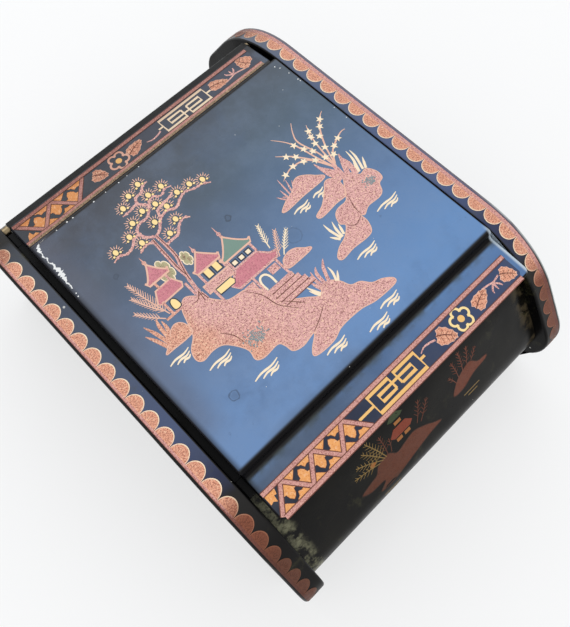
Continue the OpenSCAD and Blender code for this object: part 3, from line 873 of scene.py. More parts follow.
def paint_friezes():
    paint_frieze("front_frieze_paint", -91.0, -79.6, 1, (-68.2, 7.85, 7),
                 [("meander", -2.6), ("tendril", 16.6), ("big_leaf", 24.6), ("flower", 34.6),
                  ("long_leaf", 45.8), ("twig", 55.0), ("leaf", 62.4)])
    paint_frieze("back_frieze_paint", 63.2, 75.4, -1, (-67.4, 8.9, 5),
                 [("leaf", -26.0), ("flower", -14.9), ("long_leaf", -6.0), ("tendril", 4.4),
                  ("meander", 24.0), ("low_leaf", 43.6), ("twig", 52.8), ("round_leaf", 61.8)])


# ---------------------------------------------------------------- bare gesso
WORN_EDGE = (  # x, y and width of the flaked strip along the raised panel's left back corner
    (-61.8, 58.2, 0.5), (-63.6, 57.6, 0.5), (-65.4, 57.6, 1.0), (-66.6, 56.6, 1.5), (-67.2, 54.8, 1.6),
    (-67.0, 53.0, 0.9), (-67.7, 51.2, 0.8), (-66.8, 49.6, 0.6), (-67.6, 47.8, 0.9), (-66.6, 45.8, 0.9),
    (-67.2, 43.8, 1.5), (-66.7, 41.6, 2.2), (-67.0, 39.6, 2.3), (-67.3, 37.4, 1.6), (-67.8, 35.4, 0.7),
    (-67.3, 33.4, 0.8), (-67.8, 31.0, 0.5))
WORN_STEPS = 4        # stations between two of those places
WORN_LEFT = -68.5     # the strip goes no further out
NICKS = (  # x, y and radius of bare spots
    (-68.0, 27.2, 0.35), (-67.8, 28.8, 0.35), (-36.6, 57.2, 0.35), (-23.2, 57.0, 0.3), (-50.7, 57.6, 0.45),
    (-47.7, 57.4, 0.5), (-56.2, 57.4, 0.3), (-12.0, 57.2, 0.25), (-30.1, 57.3, 0.3), (-18.5, 57.2, 0.25),
    (66.8, 54.2, 0.35), (68.0, 52.1, 0.3), (68.9, 47.1, 0.3), (69.4, 41.7, 0.35), (69.5, 40.4, 0.3),
    (69.6, 19.0, 0.3), (69.6, 11.5, 0.3), (60.3, 42.2, 0.2), (45.4, 29.3, 0.16), (28.5, 39.6, 0.16),
    (-12.5, 33.6, 0.14), (34.0, -38.0, 0.14), (-40.2, -52.4, 0.16), (10.6, -58.0, 0.14), (-26.0, 12.0, 0.14))
NICK_SIDES = 7


def on_panel_edge(x, y, lift):
    """The raised panel with its rounded back edge and the lid's rounded left edge."""
    def drop(past, radius):
        past = min(max(0.0, past), radius * 0.95)
        return radius - math.sqrt(radius * radius - past * past)
    height = BOX_TOP - drop(y - PANEL_BACK, PANEL_EDGE_R) - drop(-x - LID_LEFT + LID_EDGE_R, LID_EDGE_R)
    return Vector((x, y, height + lift))


def paint_wear():
    """Bare gesso where the lacquer has flaked along the raised panel's edge, and nicks."""
    wear = Painting("lid_bare_gesso", on_panel_edge, "lid", cell=0.5)
    rng = random.Random(7)
    left, right = [], []
    for start, end in zip(WORN_EDGE, WORN_EDGE[1:]):
        for k in range(WORN_STEPS):
            x, y, w = Vector(start).lerp(Vector(end), k / WORN_STEPS)
            left.append((max(WORN_LEFT, x - w * rng.uniform(0.1, 0.6)), y + rng.uniform(-0.1, 0.1)))
            right.append((x + w * rng.uniform(0.1, 0.8), y + rng.uniform(-0.1, 0.1)))
    wear.fill(left + right[::-1], "bare_gesso", 0)
    for x, y, r in NICKS:
        reach = [r * rng.uniform(0.6, 1.3) for _ in range(NICK_SIDES)]
        turns = [TAU * k / NICK_SIDES for k in range(NICK_SIDES)]
        wear.fill([(x + d * math.cos(t), y + d * math.sin(t)) for d, t in zip(reach, turns)], "bare_gesso", 0)
    wear.finish()


# ---------------------------------------------------------------- landscape on the raised panel
# A traditional island scene. Its places are in hundredths of the raised panel's depth, from its middle.
SCENE_UNIT = (PANEL_BACK - PANEL_FRONT) / 100
SCENE_Y = (PANEL_BACK + PANEL_FRONT) / 2


def on_panel(x, y, lift):
    return Vector((x * SCENE_UNIT, y * SCENE_UNIT + SCENE_Y, BOX_TOP + lift))


MOSS_STEP = (0.56, 0.52)     # between the moss dots, before they are jittered
WAVE = ((-0.4, 0.0), (0.15, 0.3), (-0.1, 0.7), (0.5, 1.0))   # height, and share of the stroke's length
WAVE_STROKES = ((0.0, 0.0, 1.0), (0.24, 1.1, 0.70), (0.46, 2.05, 0.42))   # start, drop and length
STAR_R = 1.55
NEEDLES = 11                 # in a pine tuft
BUDS = ((0, 0.1, 0.88, 1.3), (-1.35, -0.9, 0.42, 1.0), (1.35, -0.8, 0.42, 1.0))   # place, radius and stretch


def rock(art, outline, moss=None, folds=()):
    """A stippled rock with a fine pale outline, a patch of moss stippled over it and dark folds."""
    art.blob(outline, "paint_salmon", "paint_line", 0.34)
    if moss:
        paint_moss(art, *moss, random.Random(len(outline)))
    for fold in folds:
        art.stroke(fold, 0.30, "paint_brown", 2, taper=(0.3, 0.3))


def paint_moss(art, x, y, r, rng):
    """Dots on a jittered grid, fewer away from the middle."""
    reach = int(r / 0.42)
    for i in range(-reach, reach + 1):
        for j in range(-reach, reach + 1):
            dx = MOSS_STEP[0] * i + rng.uniform(-0.12, 0.12)
            dy = MOSS_STEP[1] * j + rng.uniform(-0.1, 0.1)
            if rng.random() < 1.5 * math.exp(-(dx * dx / 1.6 + dy * dy) / (0.24 * r * r)):
                art.dot((x + dx, y + dy), rng.uniform(0.20, 0.30), "paint_moss", 2)


def waves(art, x, y, wide):
    """Three strokes, each shorter than the last, curling up at the right."""
    for start, drop, share in WAVE_STROKES:
        left, long = x - wide / 2 + wide * start, wide * share
        art.stroke([(left + long * at, y - drop + dy) for dy, at in WAVE], 0.80, "paint_cream",
                   taper=(0.45, 0.35))


def blades(art, paint, width, *stems):
    for stem in stems:
        art.stroke(stem, width, paint, 1 + BETWEEN, taper=(1.0, 0.15))


def frond(art, foot, tip, paint="paint_line", spread=0.1, pitch=0.95):
    """A fern: a stem with barbs every pitch that shorten to the tip, spread as a share of its length."""
    foot, tip = Vector(foot), Vector(tip)
    along = tip - foot
    across = Vector((-along.y, along.x)).normalized()
    art.stroke([foot, foot + along / 2 + across * 0.3, tip], 0.4, paint, 1)
    barbs = int(along.length / pitch)
    for k in range(2, barbs):
        root = foot + along * k / barbs
        reach = spread * along.length * math.sqrt(1 - k / barbs) + 0.3
        for side in (-1, 1):
            barb = [root, root + across * side * reach + along.normalized() * 1.5]
            art.stroke(barb, 0.34, paint, 1, taper=(1, 0.5), crisp=True)


def star(art, x, y, turn):
    """A five-pointed blossom."""
    points = []
    for k in range(10):
        reach = STAR_R * (0.42 if k % 2 else 1)
        points.append((x + reach * math.cos(turn + TAU * k / 10), y + reach * math.sin(turn + TAU * k / 10)))
    art.fill(points, "paint_cream", 3)


def tuft(art, x, y):
    """A pine tuft: needles fanned over three buds."""
    for k in range(NEEDLES):
        turn = math.pi * (-0.12 + 1.24 * k / (NEEDLES - 1))
        c, s = math.cos(turn), math.sin(turn)
        needle = [(x + reach * c, y + reach * s) for reach in (1.55, 2.55 + 0.4 * (k % 2))]
        art.stroke(needle, 0.38, "paint_line", 1, taper=(1, 0.5), crisp=True)
    for dx, dy, reach, stretch in BUDS:
        art.dot((x + dx, y + dy), reach + 0.24, "paint_ink", 1, stretch)
        art.dot((x + dx, y + dy), reach, "paint_bud", 2, stretch)


def roof(art, x, top, eave, half, paint, lean=0.45):
    """A swept roof from its peak down to upturned eaves."""
    rise = top - eave
    right = [(x + half * t, eave + rise * (1 - t) ** (1 + lean) + 0.9 * max(0, t - 0.85) / 0.15) for t in
             (0.0, 0.15, 0.3, 0.5, 0.7, 0.85, 1.0)]
    left = [(2 * x - px, py) for px, py in reversed(right)]
    under = [(x + half * 0.86, eave - 0.9), (x - half * 0.86, eave - 0.9)]
    art.fill(left + right[1:] + under, paint, 1)
    art.stroke(left + right[1:], 0.6, "paint_line", 2, crisp=True)
    art.stroke([right[-1]] + under + [left[0]], 0.6, "paint_line", 3, crisp=True)


def finial(art, x, y, tall):
    art.stroke([(x, y), (x, y + tall)], 1.1, "paint_salmon", 2, taper=(1, 0.1), crisp=True)
    art.dot((x, y + tall * 0.35), 0.75, "paint_salmon", 3)


def block(art, x0, y0, x1, y1, paint="paint_salmon", layer=1, edge=None):
    """A level rectangle, with an outline if asked."""
    corners = [(x0, y0), (x1, y0), (x1, y1), (x0, y1)]
    if edge:
        art.shape(corners, paint, edge, 0.45, layer)
    else:
        art.fill(corners, paint, layer)


def posts(art, low, high, *places):
    """Upright posts at each place along x."""
    for x in places:
        art.stroke([(x, low), (x, high)], 0.9, "paint_salmon", 2, crisp=True)


def left_pagoda(art):
    """Two storeys with an arched window."""
    finial(art, -32, 19.0, 4.0)
    roof(art, -32, 19.5, 13.4, 4.6, "paint_rose")
    posts(art, 9.8, 13.0, -34.2, -29.8)
    hip = [(-35.8, 10.0), (-29.4, 10.2), (-27.6, 6.6), (-28.4, 5.2), (-37.2, 5.0), (-38.2, 5.8)]
    art.shape(hip, "paint_rose", "paint_line", 0.55, 1)
    posts(art, 0.2, 5.6, -36.6, -27.2, -25.6)
    window = [(-35.2, 0.7), (-32.8, 0.7), (-32.8, 3.36), (-34.0, 4.5), (-35.2, 3.36)]
    art.blob(window, "paint_bud", "paint_ink", 0.34, 2, steps=4)
    block(art, -39.5, -0.5, -30, 0.4)


def middle_pagoda(art):
    """Two bright doors over a beam."""
    finial(art, -17.6, 11.2, 3.4)
    roof(art, -17.6, 11.6, 5.6, 5.4, "paint_rose", 0.1)
    posts(art, -8.4, 5.0, -22.2)
    posts(art, -2.6, 5.0, -13.6)
    for x in (-19.4, -15.9):
        block(art, x - 1.3, 1.1, x + 1.3, 4.6, "paint_bud", 2, "paint_ink")
    block(art, -24.0, -2.9, -13.3, 0.3, edge="paint_line")


def right_pagoda(art):
    """A green roof over three windows, a lower roof, a gate and four stairs."""
    finial(art, -7.7, 9.2, 5.4)
    roof(art, -7.7, 9.6, 2.6, 6.6, "paint_green")
    posts(art, -2.2, 1.6, -12.6, -2.9)
    for x in (-10.9, -8.0, -5.1):
        block(art, x - 1.0, -1.4, x + 1.0, 0.5, "paint_cream", 2, "paint_ink")
    lower_roof = [(-12.2, -2.2), (-3.4, -2.2), (-0.5, -5.6), (1.8, -6.4), (0.6, -8.4), (-15.8, -8.4),
                  (-17.2, -6.2)]
    art.shape(lower_roof, "paint_rose", "paint_salmon", 0.7, 1)
    pane = [(-21.6, -3.1), (-21.5, -5.6), (-15.6, -5.7), (-14.7, -4.6), (-15.4, -3.1)]
    art.shape(pane, "paint_bud", "paint_ink", 0.3, 3)
    posts(art, -15.2, -8.8, -10.6, -0.8)
    gate = [(-9.9, -15.0), (-9.9, -12.0), (-8.9, -10.2), (-7.1, -10.2), (-6.1, -12.0), (-6.1, -15.0)]
    art.stroke(gate, 0.75, "paint_cream", 2)
    block(art, -15, -12.6, -11.3, -9.4)
    block(art, -5.2, -12.2, -1.6, -9.4)
    for k, (x0, x1) in enumerate(((-10, 0), (-10.2, 1.2), (-9.8, 2.4), (-9.4, 3.4))):
        stair = -17.0 - 1.95 * k
        block(art, x0, stair, x1, stair + 1.8)
        art.stroke([(x0, stair - 0.1), (x1, stair - 0.1)], 0.3, "paint_brown", 2, crisp=True)


TRUNK = (
    [(-26.6, -3.4), (-25.8, 2), (-25.0, 7), (-24.0, 11), (-22.9, 14.5), (-22.6, 19), (-22.8, 25.4)],
    [(-26.0, 0.5), (-27.6, -1.4), (-29.0, -1.9)],
    [(-25.8, -0.5), (-25.4, -3.6)],
    [(-25.0, 7.6), (-25.3, 12), (-25.1, 16), (-24.9, 20), (-24.6, 25)],
)
BOUGHS = (
    [(-23.2, 25), (-20.5, 26), (-17.6, 29), (-14, 30), (-11, 28.7), (-8, 30.2), (-5, 31.3), (-2, 30),
     (1, 29.5), (4, 27.8)],
    [(-23.2, 25.2), (-25.6, 27.5), (-26.2, 30.5), (-24, 32.6), (-20.8, 32.6), (-18.5, 34), (-16.6, 36.3),
     (-14, 37.6), (-11.6, 35.9), (-9, 37.0), (-6.6, 36.3)],
    [(-17.2, 36.2), (-19.8, 39), (-23, 38.6), (-26, 38.6)],
    [(-19.8, 38.8), (-18.2, 41.2), (-15.4, 41.6), (-13.8, 43.2), (-11.4, 43.6)],
    [(-26.2, 29.4), (-28.6, 29.4), (-31, 27.4), (-33.8, 26.8), (-36, 28), (-38.8, 27.2)],
    [(-24.8, 23.6), (-26.4, 24.9), (-28.6, 24.6), (-30.4, 23.8)],
    [(-22.6, 20.2), (-20, 20.4), (-17, 20.6), (-14.6, 23), (-12, 23.9), (-9.9, 22.7)],
    [(-17.4, 29), (-16, 32.2), (-13, 33.0), (-10, 33.4), (-8, 34.2)],
)
TUFTS = ((-24, 40.9), (-19.6, 43.4), (-14.4, 44.8), (-9.2, 38.6), (-14.6, 39), (-20, 35.6), (-25.3, 34.3),
         (-15.1, 34.6), (-29.3, 31), (-36.2, 29.7), (-19.7, 29.4), (-12.9, 31.2), (-6.9, 32.9), (-1.8, 32.4),
         (2.6, 30.6), (-27.7, 26.4), (-14, 25.4), (-18.8, 22.6))


def pine(art):
    """Trunk strands with dark grain, knotted boughs and their tufts."""
    for strand in TRUNK:
        art.stroke(strand, 1.35, "paint_salmon", 1, taper=(1, 0.8))
        art.stroke([(x + 0.15, y) for x, y in strand], 0.3, "paint_brown", 2)
    for bough in BOUGHS:
        art.stroke(bough, 0.95, "paint_salmon", 1, taper=(1, 0.5))
        for k, (x, y) in enumerate(smooth_line(bough, 3)[1:-2:2]):
            art.dot((x + 0.2 * (-1) ** k, y), 0.58, "paint_salmon", 1 + BETWEEN)
    for place in TUFTS:
        tuft(art, *place)


STEMS = (
    [(38, 2), (36.3, 9), (35, 16), (33.2, 21), (30, 25.6)],
    [(38.4, 2), (38, 10), (36.2, 18), (37.4, 22), (40, 25.8)],
    [(38, 2), (35, 9), (31, 15), (28.6, 17.5), (26.4, 19.6)],
    [(38.6, 2), (39.6, 10), (41.2, 17), (43.2, 21.4)],
    [(39, 3), (41.6, 10), (45, 16), (48.6, 20), (51.4, 21.8)],
    [(39, 3), (42.4, 7.4), (47, 9.8), (50, 10.8), (51.8, 10.6)],
    [(37.6, 3), (33.5, 10.6), (28, 12.4), (24, 11.6), (21.6, 10.4)],
)
STARS = ((34.2, 18.3), (29, 16.8), (31.4, 14.5), (35.6, 14.8), (37.2, 12), (32.0, 11.3), (28, 12.4),
         (23.8, 11.7), (35.2, 8.8), (38.5, 7.2), (41.4, 6), (41.3, 10.2), (44, 8.3), (47.2, 9.7), (40, 13.7),
         (40.9, 16.6), (43.3, 14.8), (46.2, 17.6), (48.4, 19.8), (42, 18.9))


def blossom_shrub(art):
    for stem in STEMS:
        art.stroke(stem, 0.6, "paint_line", 1, taper=(1, 0.3))
    for k, (x, y) in enumerate(STARS):
        star(art, x, y, 0.3 + 0.5 * k)
    blades(art, "paint_salmon", 1.9, [(36, -3), (34.6, 2), (33.6, 8)], [(37.5, -2.6), (38.2, 4)],
           [(37, -3), (36.2, 1), (34.2, 5.6)], [(39, -3), (41.2, 1.2), (42.6, 5)],
           [(41.2, -5), (42.2, 0), (41.8, 4)])
    blades(art, "paint_cream", 0.9, [(42.6, -5), (44.6, 0), (45.2, 4)], [(44.2, -5.2), (46, 0), (46.4, 3.4)],
           [(45.2, -5.6), (47.6, -1.6)], [(42.2, -5), (43.8, -1)])


LOBES = 48             # stations round a clump of foliage
LEAF_VEINS = 22


def foliage(art, x, y, r):
    """A round clump of leaves beside the pagodas, lobed along its edge, with short veins."""
    def around(turn, share):
        puffed = share * r * (0.84 + 0.26 * math.sqrt(abs(math.sin(3 * turn))))
        return x + puffed * math.cos(turn), y + 1.7 * puffed * math.sin(turn)
    edge = [around(TAU * k / LOBES, 1) for k in range(LOBES)]
    art.blob(edge, "paint_ochre", "paint_cream", 0.34, steps=2)
    for k in range(LEAF_VEINS):
        turn = TAU * k / LEAF_VEINS
        vein = [around(turn, 0.15), around(turn + 0.1, 0.45), around(turn, 0.72 + 0.1 * (k % 2))]
        art.stroke(vein, 0.2, "paint_olive", 0.5 + BETWEEN, taper=(0.6, 0.3))


# Each rock has its outline and, where it has them, its moss (middle and radius) and folds.
ROCKS = (
    ([(-47, -8.6), (-43.4, -6), (-41, -3.6), (-38.4, -2.8), (-36.4, -4.6), (-36, -8.4), (-39, -9.1),
      (-44, -8.9)],),
    ([(0, -14), (0.6, -11), (3.8, -9.8), (6.6, -10.4), (8.8, -12.4), (10.6, -13.7), (9.4, -14.4),
      (4, -14.5)],),
    ([(-30.6, 1.8), (-33.6, -0.4), (-35.4, -5), (-37, -9.6), (-40.6, -13), (-41.6, -16.4), (-40, -18.1),
      (-36, -17.7), (-32.4, -18.6), (-29.6, -22), (-28, -25.6), (-28.5, -29), (-26, -30.4), (-20.4, -30.2),
      (-19, -32.2), (-18.4, -35), (-15, -36.1), (-9.6, -35.4), (-13.6, -38.6), (-15, -40.6), (-12.6, -41.5),
      (-7, -41.5), (-2, -40), (6, -40.1), (12, -41.5), (20, -41.7), (21.5, -40.2), (18.8, -37.8),
      (15.4, -36.4), (13, -33.5), (10, -32.2), (8.6, -29), (6.4, -26.4), (3.2, -26), (0.5, -28),
      (-3, -25.4), (-7, -22.4), (-9.8, -20), (-10.2, -15), (-13, -11.4), (-15.4, -9.6), (-21, -8.6),
      (-24, -5.6), (-27, -1)],
     (-23.2, -23.6, 4.2),
     [[(-30.6, -15), (-28, -18.6), (-27, -23.5)], [(-15.6, -10), (-12.4, -15), (-11, -21), (-6.6, -27)],
      [(-9.6, -35.2), (-5.8, -33.6), (-1.2, -31)], [(-9.6, -20.6), (-6, -24.6), (-4.4, -26.4)]]),
    ([(13, 2.2), (17, 4.4), (21, 5.6), (24, 8), (26.4, 8.3), (29, 6.6), (31, 4.4), (33, 2.4), (31, 1.5),
      (22, 1.6), (15, 1.3)],),
    ([(20, -7), (24, -5.5), (28, -2.6), (31.4, 0.4), (34, -0.4), (35, -3), (33, -8), (28, -8.2),
      (21, -8.6)],),
    ([(33, -7.6), (36, -4), (38, -2.3), (40.4, -3.6), (42, -6), (45, -5.8), (46.8, -9), (46.4, -12),
      (44, -13), (42.4, -15.6), (40, -16.6), (35, -16.4), (31.8, -17.8), (30.6, -17), (30.6, -20),
      (29, -23.4), (26, -24.2), (20, -23.8), (14.8, -24.2), (14, -22.6), (17, -20.4), (21, -19),
      (24.4, -16.2), (23.4, -14.4), (24.6, -11.4), (27, -10), (31, -9.8)],
     (42.4, -9.8, 3.2),
     [[(30.8, -17), (27, -18.4), (24.8, -16.4)], [(33, -9), (31.4, -13), (31, -16.6)]]),
)
WAVES = (  # middle and width
    (-44.6, -12, 8), (-36.4, -21.4, 9), (-28.4, -33.6, 10), (-7.8, -43, 8.6), (7, -47, 8.8), (14.8, -44, 8.4),
    (22.4, -27.2, 9), (40.4, -19.6, 10), (18.8, -0.9, 7.2), (26.8, -0.9, 5.4))


def paint_landscape():
    art = Painting("lid_landscape_paint", on_panel, "lid")
    foliage(art, -29.0, 13.3, 2.5)
    foliage(art, -21.0, 12.0, 1.6)
    for form in ROCKS:
        rock(art, *form)
    frond(art, (-37.4, 1), (-41, 18))
    frond(art, (-38.2, 3), (-43, 13.4))
    frond(art, (-39.4, 0.6), (-45.6, 8.6))
    pine(art)
    left_pagoda(art)
    middle_pagoda(art)
    right_pagoda(art)
    blades(art, "paint_salmon", 1.3, [(-43.8, -6.6), (-45, -1), (-46.4, 3.2)],
           [(-43, -6.4), (-42.6, 0), (-41.8, 2.6)], [(-45, -7), (-46.4, -3), (-48, 0.4)],
           [(-42.4, -5.8), (-41.2, -2), (-41.0, 1)])
    frond(art, (0.8, -4.6), (3.6, 4.4), "paint_cream")
    frond(art, (1.0, -9), (6.4, -0.8))
    frond(art, (2.4, -9.6), (9.4, -3.2), "paint_cream")
    blades(art, "paint_salmon", 1.2, [(3.4, -26), (3.2, -23), (4, -20)], [(4.6, -26), (5, -22), (6.4, -19.8)],
           [(6, -26.4), (8, -22), (10.2, -19.4)], [(2.4, -26.6), (1.4, -22.6)])
    blades(art, "paint_cream", 0.8, [(1.4, -28), (0, -25), (-0.8, -22.6)], [(0.6, -28), (-1, -24.4)],
           [(7.8, -28), (9, -25), (9.2, -22.6)], [(8.2, -28.4), (10.6, -25.6)])
    blossom_shrub(art)
    blades(art, "paint_cream", 0.9, [(20, -18.4), (19.2, -14), (19.2, -10.8)],
           [(20.6, -18.4), (21, -15), (22, -12)], [(19.4, -18.6), (17.4, -15.6)], [(21.6, -18), (23, -14)])
    blades(art, "paint_salmon", 0.6, [(17.6, 4), (15.4, 7.6)], [(18.4, 4.4), (18.2, 8.8)],
           [(19.6, 4.6), (20.4, 12.4)], [(20.6, 4.8), (22.4, 10.4)], [(21.6, 5.2), (23.8, 8.8)],
           [(19, 4.4), (16.8, 6.4)])
    for place in WAVES:
        waves(art, *place)
    art.finish()


# ---------------------------------------------------------------- two small islands on the bellied front
LEFT_ISLE = ((-38, -6), (-32, -8), (-28, -9), (-25, -13), (-19, -14), (-15, -10), (-10, -11), (-4, -12),
             (2, -9), (6, -6), (10, -3), (2, -2), (-8, 0), (-22, 3), (-30, 2), (-26, -2), (-34, -3))
RIGHT_ISLE = ((20, -8), (24, -14), (29, -17), (34, -18), (38, -14), (43, -13), (42, -11), (34, -10), (26, -7))
HOUSE = (  # walls, roofs and windows with their paints
    ([(-15, -19), (-12, -22.5), (-5, -22.5), (-2, -19), (-4, -17), (-13, -17)], "paint_rose"),
    ([(-13, -27.5), (-8.6, -31), (-4, -27.5), (-6, -26.5), (-11, -26.5)], "paint_green"),
    ([(-12.6, -16.4), (-9.4, -16.4), (-9.4, -14.4), (-12.6, -14.4)], "paint_gold"),
    ([(-8.0, -16.4), (-4.8, -16.4), (-4.8, -14.4), (-8.0, -14.4)], "paint_gold"),
    ([(-10.4, -25.4), (-6.6, -25.4), (-6.6, -23.6), (-10.4, -23.6)], "paint_gold"),
)
LEFT_FERNS = (((-24, -13), (-37, -17)), ((-22, -13), (-34, -22)), ((-21, -13), (-29, -26)),
              ((-20, -13), (-25.5, -29)), ((-19, -13), (-19, -26)), ((-1, -14), (4, -25)),
              ((1, -13), (8, -22)), ((-17, -13), (-15.5, -21)))
RIGHT_FERNS = (((24, -13), (21, -20)), ((26, -15), (25, -26)), ((29, -16), (30, -28)), ((31, -16), (35, -27)),
               ((33, -16), (39, -23)))


def down_front(points):
    """From the scene's own places, y down from the top, to x and the way down the profile."""
    return [(x, 36.0 + 0.95 * (y + 28)) for x, y in points]


def paint_front_scenes():
    art = Painting("front_scene_paint", on_front, "case", cell=2.5)
    art.blob(down_front(LEFT_ISLE), "paint_salmon", "paint_brown", 0.5)
    for outline, colour in HOUSE:
        art.fill(down_front(outline), colour, 1)
    art.dot(down_front([(-27, -15.6)])[0], 1.6, "paint_gold", 1, 0.8)
    for fern in LEFT_FERNS:
        frond(art, *down_front(fern), "paint_ochre" if fern[1][0] < -25 else "paint_salmon", 0.19, 1.7)
    art.blob(down_front(RIGHT_ISLE), "paint_salmon", "paint_brown", 0.5)
    for fern in RIGHT_FERNS:
        frond(art, *down_front(fern), "paint_salmon", 0.17, 1.6)
    for x, y in ((30, -3), (-24, 7)):
        for k, half in enumerate((5.0, 3.0)):
            ripple = [(x - half, y + 2 * k), (x + half, y + 2 * k)]
            art.stroke(down_front(ripple), 0.5, "paint_ochre", crisp=True)
    art.finish()


# ---------------------------------------------------------------- finishes on the CAD solids
WELD = 0.001          # vertices nearer than this are one
BEVEL_FROM = 40       # corners sharper than this many degrees are softened
SPLIT_FROM = 32       # and those that aren't softened stay crisp from here


def shade(node, material, round_off=0.0):
    """Gives a CAD solid its finish, smooth shading across its curves and, if asked, softened corners."""
    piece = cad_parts[node]
    mesh = piece.data
    mesh.materials.clear()
    mesh.materials.append(material)
    for name in ("custom_normal", "sharp_edge", "sharp_face"):
        if name in mesh.attributes:
            mesh.attributes.remove(mesh.attributes[name])
    mesh.polygons.foreach_set("use_smooth", [True] * len(mesh.polygons))
    weld = piece.modifiers.new("join", "WELD")
    weld.merge_threshold = WELD * MM
    if round_off:
        bevel = piece.modifiers.new("soft_corners", "BEVEL")
        bevel.width = round_off * MM
        bevel.segments = 2
        bevel.limit_method = "ANGLE"
        bevel.angle_limit = math.radians(BEVEL_FROM)
        bevel.harden_normals = True
        return
    split = piece.modifiers.new("crease", "EDGE_SPLIT")
    split.split_angle = math.radians(SPLIT_FROM)
    level = piece.modifiers.new("flat_faces_flat", "WEIGHTED_NORMAL")
    level.weight = 90
    level.keep_sharp = True


def dress_solids():
    case = black_lacquer("case_lacquer_black", handled_case)
    board, seat = black_lacquer("board_lacquer_black", board_painted_light), seat_black()
    metal, pile, base = brass(), velvet(), felt()
    shade("lid_top", lacquer_lid())
    for node in ("left_end_board", "right_end_board"):
        shade(node, board)
    for node in ("front_panel", "back_panel"):
        shade(node, case)
    for node in ("left_cheek", "right_cheek", "lid_hinge_rail"):
        shade(node, seat)
    shade("bottom_board", case, 0.4)
    for node in ("front_rail", "back_rail", "lid_front_strip", "lid_back_strip", "lid_left_strip",
                 "lid_right_strip"):
        shade(node, seat, 0.4)
    shade("base_felt", base, 0.3)
    for side in ("left", "right"):
        for part in ("pin", "bush", "collar"):
            shade(f"{side}_hinge_{part}", metal)
    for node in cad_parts:
        if node.endswith(("lining", "divider")) or node.startswith("ring_"):
            shade(node, pile)


dress_solids()
mix_paints()
paint_border(-1, "left")
paint_border(1, "right")
paint_friezes()
paint_wear()
paint_landscape()
paint_front_scenes()


# ---------------------------------------------------------------- velvet inside
def soft_box(low, high, r, step):
    """Vertices and faces of a closed box with round edges, in cells of about step. Sizes in millimetres."""
    low, high = Vector(low), Vector(high)
    counts = [max(2, round((high[k] - low[k]) / step)) for k in range(3)]
    index, verts, faces = {}, [], []

    def corner(key):
        if key not in index:
            p = Vector([low[k] + (high[k] - low[k]) * key[k] / counts[k] for k in range(3)])
            core = Vector([min(max(p[k], low[k] + r), high[k] - r) for k in range(3)])
            out = p - core
            if out.length > 1e-6:
                p = core + out.normalized() * min(r, max(abs(c) for c in out))
            index[key] = len(verts)
            verts.append(p)
        return index[key]

    for k in range(3):
        u, v = (k + 1) % 3, (k + 2) % 3
        for end in (0, counts[k]):
            for i in range(counts[u]):
                for j in range(counts[v]):
                    quad = []
                    for du, dv in ((0, 0), (1, 0), (1, 1), (0, 1)):
                        key = [0, 0, 0]
                        key[k], key[u], key[v] = end, i + du, j + dv
                        quad.append(corner(tuple(key)))
                    faces.append(quad if end else quad[::-1])
    return verts, faces


def cover(mesh):
    """Velvet and smooth shading on every face."""
    mesh.materials.clear()
    mesh.materials.append(bpy.data.materials["velvet_crimson"])
    mesh.polygons.foreach_set("use_smooth", [True] * len(mesh.polygons))


def velvet_piece(name, verts, faces, body="case"):
    """A smooth piece of velvet from vertices in millimetres."""
    mesh = bpy.data.meshes.new(name)
    mesh.from_pydata([Vector(v) * MM for v in verts], [], faces)
    cover(mesh)
    return add_piece(name, mesh, body)


PUFF_STEPS = 20       # frames of the cloth simulation


def puff(piece, held, cap, pressure):
    """Fills a closed cloth form with air while the held vertices stay put, and applies the result.

    No vertex moves further than cap, in millimetres."""
    mesh = piece.data
    rest = [v.co.copy() for v in mesh.vertices]
    group = piece.vertex_groups.new(name="sewn")
    group.add([i for i, v in enumerate(rest) if held(v / MM)], 1.0, "REPLACE")
    cloth = piece.modifiers.new("cloth", "CLOTH")
    settings = cloth.settings
    settings.quality = 6
    settings.mass = 0.25
    settings.tension_stiffness = settings.compression_stiffness = 12
    settings.bending_stiffness = 0.6
    settings.use_pressure = True
    settings.uniform_pressure_force = pressure
    settings.vertex_group_mass = group.name
    settings.effector_weights.gravity = 0
    cloth.point_cache.frame_start, cloth.point_cache.frame_end = 1, PUFF_STEPS
    scene = bpy.context.scene
    for step in range(1, PUFF_STEPS + 1):
        scene.frame_set(step)
    done = piece.evaluated_get(bpy.context.evaluated_depsgraph_get()).to_mesh()
    moved = [v.co.copy() for v in done.vertices]
    piece.modifiers.remove(cloth)
    scene.frame_set(1)
    for vertex, start, end in zip(mesh.vertices, rest, moved):
        shift = end - start
        if shift.length > cap * MM:
            shift *= cap * MM / shift.length
        vertex.co = start + shift
    piece.vertex_groups.clear()
    mesh.update()


def round_over(piece):
    more = piece.modifiers.new("round", "SUBSURF")
    more.levels = more.render_levels = 1


def node_box(node, shrink=0.0):
    """Lowest and highest corner of a CAD node in millimetres, drawn in along x and y by shrink."""
    low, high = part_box(node)
    inset = Vector((shrink, shrink, 0))
    return low / MM + inset, high / MM - inset


def from_rim(p, low, high):
    """How far a point lies in from the nearest side of a box."""
    return min(p.x - low.x, high.x - p.x, p.y - low.y, high.y - p.y)


PAD_RIM = 3.0         # flat rim of the two pads
QUILT = 21.0          # between the quilting lines of the lid's pad
QUILT_SEAM = 1.3      # half the width that a quilting line holds flat
QUILT_DIP = 1.4       # how deep a quilting line is drawn in
PAD_PUFF = (1.45, 6.0)       # how far the lid's pad may swell, and its pressure
FLOOR_PUFF = (0.48, 5.0)     # and the floor's


def quilt_distance(x, y):
    """How far a point lies from the nearest quilting line."""
    return min(abs((x + side * y) / math.sqrt(2) % QUILT - QUILT / 2) for side in (-1, 1))


